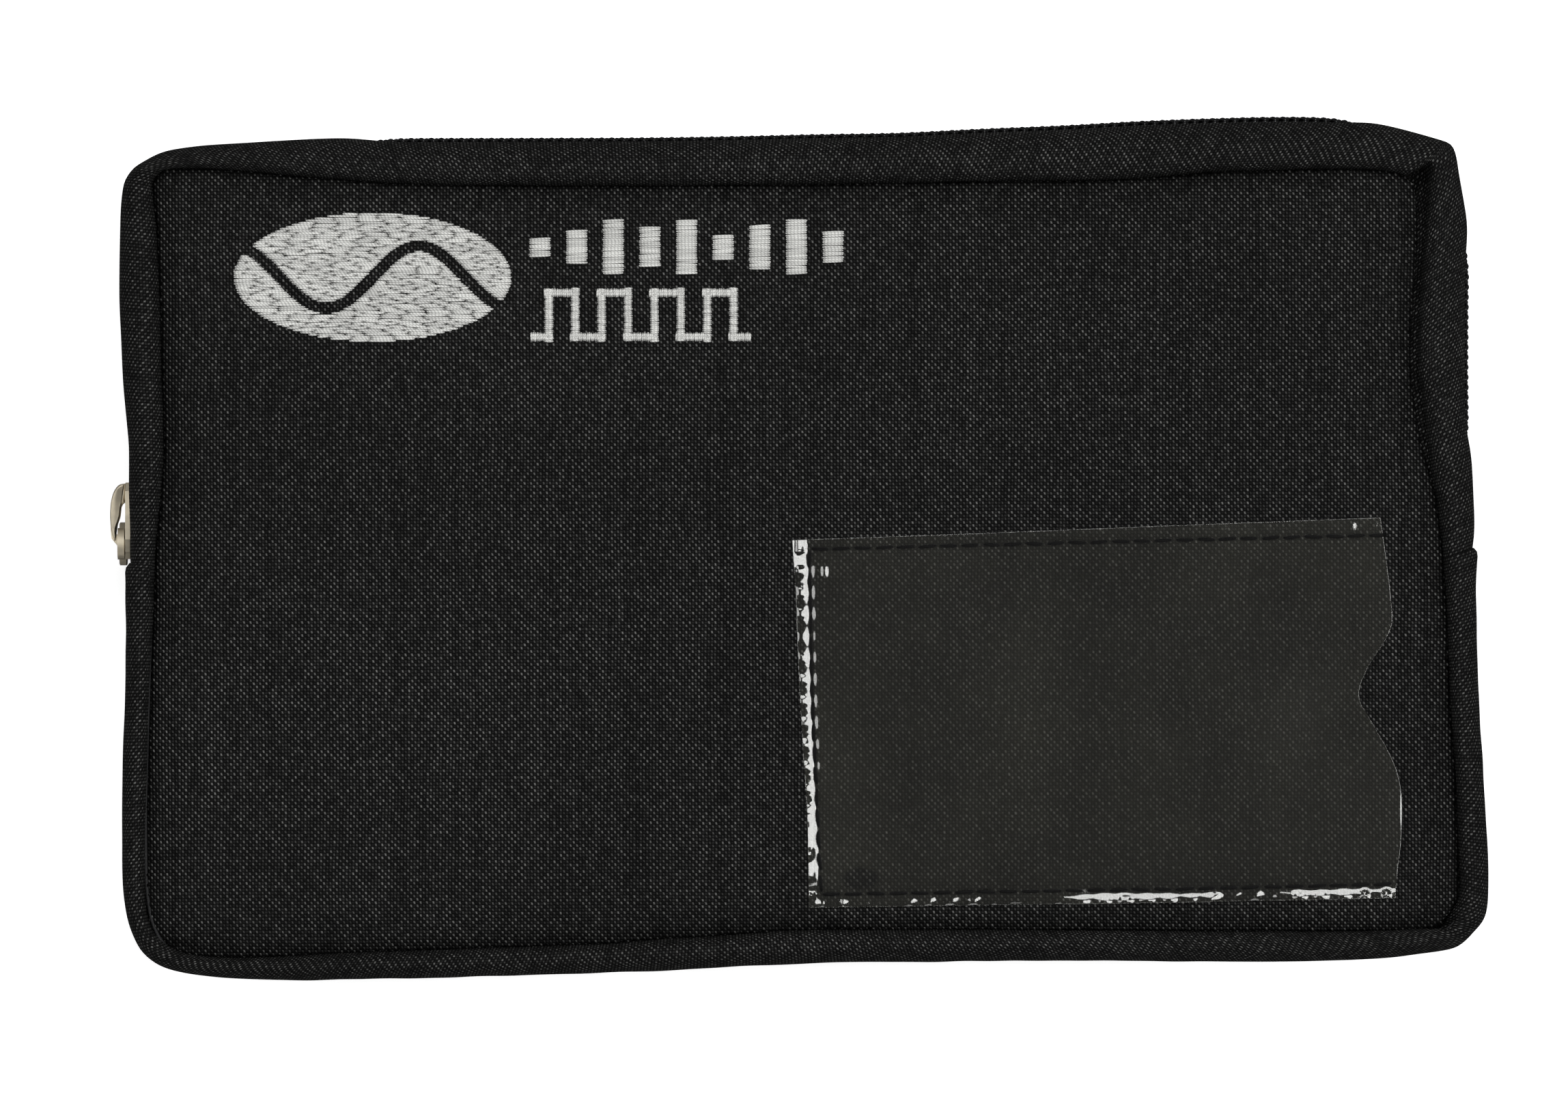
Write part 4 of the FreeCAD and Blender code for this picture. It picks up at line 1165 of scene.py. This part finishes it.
base_z = calm_height(win)
x, y = win[..., 0], win[..., 1]
lift = np.full(win.shape[:2], 0.14) + 0.03 * waves(x, y, 34, 71)
buckles = np.zeros(win.shape[:2])
for name, pitch, amount, seed in (("top", 3.5, 0.0, 81), ("left", 3.5, 0.0, 82), ("bottom", 3.5, 0.0, 83)):
    dist, along = polyline_distance(win, STITCH_LINES[name])
    edge, _ = polyline_distance(win, EDGES[name])
    line = np.array(STITCH_LINES[name])
    if name == "left":
        out = np.interp(-y, -line[:, 1], line[:, 0]) - x
    else:
        out = (y - np.interp(x, line[:, 0], line[:, 1])) * (1 if name == "top" else -1)
    margin = np.clip(1 - edge / 2.0, 0, 1)
    curl = amount * (1 + 0.8 * waves(along, along * 0 + seed, 17, seed))
    if name == "left":
        curl = curl + 0.46 * (1 - smooth(3.6, 6.0, along)) + 0.42 * smooth(42, 45, along)
    if name == "bottom":
        curl = curl + 0.50 * smooth(38, 39.5, along) * (1 - smooth(62.5, 65, along)) + 0.50 * smooth(72.5, 74.5, along)
    uneven = np.clip(0.8 + 0.4 * waves(along, along * 0, 7.7, seed + 5), 0.35, 1.15)
    lift = lift + np.clip(curl * (0.75 + 0.25 * uneven), 0, 1.2) * margin ** 1.1 * (edge < 2.0)
    held = np.exp(-(dist / 0.8) ** 2)
    lift = lift * (1 - held) + 0.06 * held
    # the film buckles between the stitches, most of all outside their line
    rises = {"top": 0.06, "left": 0.42, "bottom": 0.38}[name] * uneven
    between = (0.5 + 0.5 * np.cos(2 * math.pi * along / pitch)) ** 3.6
    outer_side = smooth(0.1, 1.75, out) * (1 - smooth(1.75, 2.5, out))
    inner_side = (0.22 if name == "left" else 0.05) * smooth(0.0, 0.9, -out) * (1 - smooth(0.9, 1.8, -out))
    reach = smooth(-1.0, 1.0, along) * (dist < 3.0)
    buckles = np.maximum(buckles, rises * between * (outer_side + inner_side) * reach)
lift = lift + buckles
# a small blister in the corner
lift = lift + 0.16 * np.exp(-(((x - 4.3) / 0.55) ** 2 + ((y + 3.5) / 0.8) ** 2))
free, _ = polyline_distance(win, w_right)
lift = lift + 0.08 * np.exp(-free / 2.0) * (0.8 + 0.5 * waves(x, y, 20, 77)) + 0.28 * np.clip((x - 86) / 11, 0, 1) ** 2
true_z = heights(win.reshape(-1, 2)).reshape(win.shape[:2])
lift = np.maximum(lift, np.maximum(true_z - base_z, 0) + 0.02)
win_P = np.dstack([win, base_z + lift + 0.2])
window_film = sheet_mesh("window_film", win_P, 0.2, VINYL, win)
finish_piece(window_film, "case_body", ("card_window",))
declare(win_P, 97, 62)

q, _ = grid_faces(NV, NU, False)
WINTREE = BVHTree.FromPolygons([tuple(v) for v in win_P.reshape(-1, 3)], q.tolist())


def film_height(x, y):
    hit = WINTREE.ray_cast(Vector((x, y, 60)), Vector((0, 0, -1)))
    return hit[0].z if hit[0] is not None else height(x, y) + 0.2


stitches = []
for name, line in STITCH_LINES.items():
    fine = resample(catmull(line, 20), 1200)
    total = np.linalg.norm(np.diff(fine, axis=0), axis=1).sum()
    n = int(round(total / 3.5))
    for k in range(n):
        a0 = (k + 0.08 + RNG.uniform(-0.03, 0.03)) / n
        a1 = (k + 0.90 + RNG.uniform(-0.03, 0.03)) / n
        side = RNG.uniform(-0.12, 0.12)
        t = np.linspace(a0, a1, 11)
        p = np.stack([np.interp(t, np.linspace(0, 1, 1200), fine[:, i]) for i in (0, 1)], -1)
        d = p[-1] - p[0]
        d = np.array([-d[1], d[0]]) / np.linalg.norm(d)
        f = np.linspace(0, 1, 11)
        p = p + d[None] * (side * (2 * f - 1))[:, None]
        arch = np.sin(math.pi * np.clip(f, 0, 1)) ** 0.45
        zz = np.array([film_height(float(u), float(v)) for u, v in p]) - 0.45 + 0.72 * arch
        stitches.append(np.column_stack([p, zz]))
window_thread = tubes("window_thread", stitches, 0.30, 8, BLACK_THREAD, taper=lambda f: 0.72 + 0.28 * np.sin(math.pi * f) ** 0.5)
finish_piece(window_thread, "case_body", ("window_stitches",))


# ---------------------------------------------------------------------------------------------------
# Satin-stitch emblem: a lens split by a wave, nine bars, and a square wave
# ---------------------------------------------------------------------------------------------------
threads = []
ROW = 0.34


def satin(a, b, rise=0.34, sink=0.12):
    """One stitch from a to b over the cloth."""
    a, b = np.asarray(a, float), np.asarray(b, float)
    a = a + RNG.uniform(-0.07, 0.07, 2)
    b = b + RNG.uniform(-0.07, 0.07, 2)
    L = np.linalg.norm(b - a)
    if L < 0.35:
        return
    n = int(min(9, max(5, L / 0.5)))
    f = np.linspace(0, 1, n)
    p = a + (b - a) * f[:, None]
    zz = np.array([height(float(u), float(v)) for u, v in p])
    arch = np.sin(math.pi * f) ** 0.55
    threads.append(np.column_stack([p, zz - sink + (rise + sink) * arch + RNG.uniform(-0.03, 0.03)]))


LX, LY, LA, LB = -68.5, 43.9, 22.4, 10.4
row = 0
yy = LY - LB + 0.15
while yy < LY + LB:
    xs = np.arange(LX - LA, LX + LA, 0.05)
    inside = ((xs - LX) / LA) ** 2 + ((yy - LY) / LB) ** 2 <= 1
    k = 1.5 * math.pi / LA
    wave = LY + 5.0 * np.sin((xs - LX) * k)
    slope = 5.0 * k * np.cos((xs - LX) * k)
    inside &= np.abs(yy - wave) / np.sqrt(1 + slope ** 2) > 0.9
    edges = np.flatnonzero(np.diff(np.concatenate([[0], inside.astype(int), [0]])))
    for a, b in zip(edges[::2], edges[1::2]):
        x0, x1 = xs[a], xs[min(b, len(xs) - 1)]
        if x1 - x0 < 0.5:
            continue
        step = 3.7
        first = x0 - RNG.uniform(0.1, 1.0) * step
        cuts = [x0] + [v + RNG.uniform(-0.5, 0.5) for v in np.arange(first, x1 + step, step) if x0 + 1.2 < v < x1 - 1.2] + [x1]
        for u, v in zip(cuts[:-1], cuts[1:]):
            satin((u, yy), (v, yy + RNG.uniform(-0.05, 0.05)))
    row += 1
    yy += ROW

for j, tall in enumerate((3.2, 5.4, 8.8, 6.4, 8.8, 4.2, 7.2, 8.8, 5.0)):
    x0 = -43.2 + 5.9 * j
    yy = 48.75 - tall / 2 + 0.15
    while yy < 48.75 + tall / 2:
        satin((x0, yy), (x0 + 3.4, yy + 0.1))
        yy += ROW

LOW, HIGH, STEP, HALF = 34.3, 41.4, 4.25, 0.65
corners = [(-42.2, LOW)]
for k in range(4):
    x0 = -42.2 + 2 * STEP * k
    corners += [(x0 + STEP / 2, LOW), (x0 + STEP / 2, HIGH), (x0 + 1.5 * STEP, HIGH), (x0 + 1.5 * STEP, LOW)]
corners.append((-42.2 + 8 * STEP, LOW))
for a, b in zip(corners[:-1], corners[1:]):
    a, b = np.array(a), np.array(b)
    L = np.linalg.norm(b - a)
    d = (b - a) / L
    n = np.array([-d[1], d[0]])
    t = -HALF
    while t < L + HALF:
        p = a + d * t
        satin(p - n * HALF, p + n * HALF, rise=0.42)
        t += 0.33
emblem = tubes("emblem_thread", threads, 0.205, 6, SILVER_THREAD, squash=0.75, taper=lambda f: 0.8 + 0.2 * np.sin(math.pi * f))
finish_piece(emblem, "front_flap", ("embroidered_emblem",))
print("emblem stitches", len(threads), "faces", len(emblem.data.polygons))

# metal parts keep their CAD shape
for name in ("slider_body", "pull_tab"):
    ob = bpy.data.objects.get(name)
    if ob is None:
        print("no object named", name)
        continue
    for slot in ob.material_slots:
        slot.material = METAL
    if not ob.material_slots:
        ob.data.materials.append(METAL)
    soft = ob.modifiers.new("edges", "BEVEL")
    soft.width = 0.00018
    soft.segments = 3
    soft.limit_method = "ANGLE"
    soft.angle_limit = math.radians(35)


# the bridge is a broad plate whose opening is small
outer = catmull([(-108.95, 10.75), (-109.9, 10.55), (-110.7, 9.6), (-111.2, 8.1), (-111.38, 6.2), (-111.36, 4.6), (-111.15, 2.7), (-110.62, 1.3)], 5)
hole = catmull([(-110.32, 1.9), (-110.36, 3.4), (-110.05, 4.4), (-109.75, 5.3), (-109.62, 6.2), (-109.55, 6.9), (-109.2, 7.5), (-108.95, 7.6)], 5)
ring = np.vstack([outer, hole])
verts, faces = [], []
levels = ((13.95, 0.28), (14.1, 0.08), (14.4, 0.0), (15.6, 0.0), (15.9, 0.08), (16.05, 0.28))
cen = ring.mean(axis=0)
m = len(ring)
nxt = np.roll(ring, -1, axis=0) - np.roll(ring, 1, axis=0)
nn = np.stack([-nxt[:, 1], nxt[:, 0]], -1)
nn /= np.maximum(np.linalg.norm(nn, axis=1), 1e-9)[:, None]
area2 = float(np.sum(ring[:, 0] * np.roll(ring[:, 1], -1) - np.roll(ring[:, 0], -1) * ring[:, 1]))
nn = nn * (1 if area2 > 0 else -1)          # inwards
for z, r in levels:
    verts += [(p[0] + n[0] * r, p[1] + n[1] * r, z) for p, n in zip(ring, nn)]
for k in range(len(levels) - 1):
    for i in range(m):
        j = (i + 1) % m
        faces.append((k * m + i, k * m + j, (k + 1) * m + j, (k + 1) * m + i))
faces.append(tuple(range(m)))
faces.append(tuple(range((len(levels) - 1) * m, len(levels) * m)))
bridge = new_object("bridge_plate", verts, faces, METAL, None, smooth_faces=True)
fix_normals(bridge)
bm = bmesh.new()
bm.from_mesh(bridge.data)
bmesh.ops.triangulate(bm, faces=[f for f in bm.faces if len(f.verts) > 4])
bm.to_mesh(bridge.data)
bm.free()
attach(bridge, "zip_slider")


# ---------------------------------------------------------------------------------------------------
# Floor, camera and lights
# ---------------------------------------------------------------------------------------------------
t = Tree("floor_white")
p = t.principled(Base_Color=(0.86, 0.86, 0.86), Roughness=0.9)
p.inputs["Emission Color"].default_value = (1, 1, 1, 1)
p.inputs["Emission Strength"].default_value = 0.62
FLOOR = t.finish(p)
me = bpy.data.meshes.new("floor")
R = 3.0
me.from_pydata([(-R, -R, -0.0002), (R, -R, -0.0002), (R, R, -0.0002), (-R, R, -0.0002)], [], [(0, 1, 2, 3)])
floor = bpy.data.objects.new("floor", me)
floor.data.materials.append(FLOOR)
bpy.context.scene.collection.objects.link(floor)
floor.visible_diffuse = False
floor.visible_glossy = False

cam = bpy.data.cameras.new("camera")
cam.sensor_width = 36
cam.lens = 356.3
cam.clip_end = 20
camera = bpy.data.objects.new("camera", cam)
camera.location = (-0.0022, 0.00022, 2.530)
bpy.context.scene.collection.objects.link(camera)
bpy.context.scene.camera = camera


def softbox(name, place, aim, size, power, colour=(1, 1, 1)):
    L = bpy.data.lights.new(name, "AREA")
    L.shape = "RECTANGLE"
    L.size, L.size_y = size
    L.energy = power
    L.color = colour
    ob = bpy.data.objects.new(name, L)
    ob.location = place
    ob.rotation_euler = (Vector(aim) - Vector(place)).to_track_quat("-Z", "Y").to_euler()
    bpy.context.scene.collection.objects.link(ob)
    return ob


softbox("left_bank", (-0.92, 0.1, 1.72), (0, 0, 0), (0.85, 1.0), 8)
softbox("right_bank", (0.92, 0.0, 1.72), (0, 0, 0), (0.85, 1.3), 19)
softbox("far_bank", (0.05, 0.95, 1.72), (0, 0, 0), (1.2, 0.8), 15)
softbox("near_bank", (-0.05, -1.4, 1.2), (0, 0, 0), (0.8, 0.6), 2)
# low light, for the sides
softbox("low_left", (-1.7, 0.0, 0.34), (0, 0, 0), (0.9, 0.5), 5)
softbox("low_right", (1.7, 0.0, 0.34), (0, 0, 0), (0.9, 0.5), 5)
softbox("low_far", (0.0, 1.7, 0.34), (0, 0, 0), (0.9, 0.5), 4)
softbox("low_near", (0.0, -1.7, 0.34), (0, 0, 0), (0.9, 0.5), 5)
world = bpy.data.worlds.new("world")
world.use_nodes = True
world.node_tree.nodes["Background"].inputs[0].default_value = (1, 1, 1, 1)
world.node_tree.nodes["Background"].inputs[1].default_value = 0.07
bpy.context.scene.world = world
bpy.context.scene.view_settings.view_transform = "Standard"

bpy.context.view_layer.update()
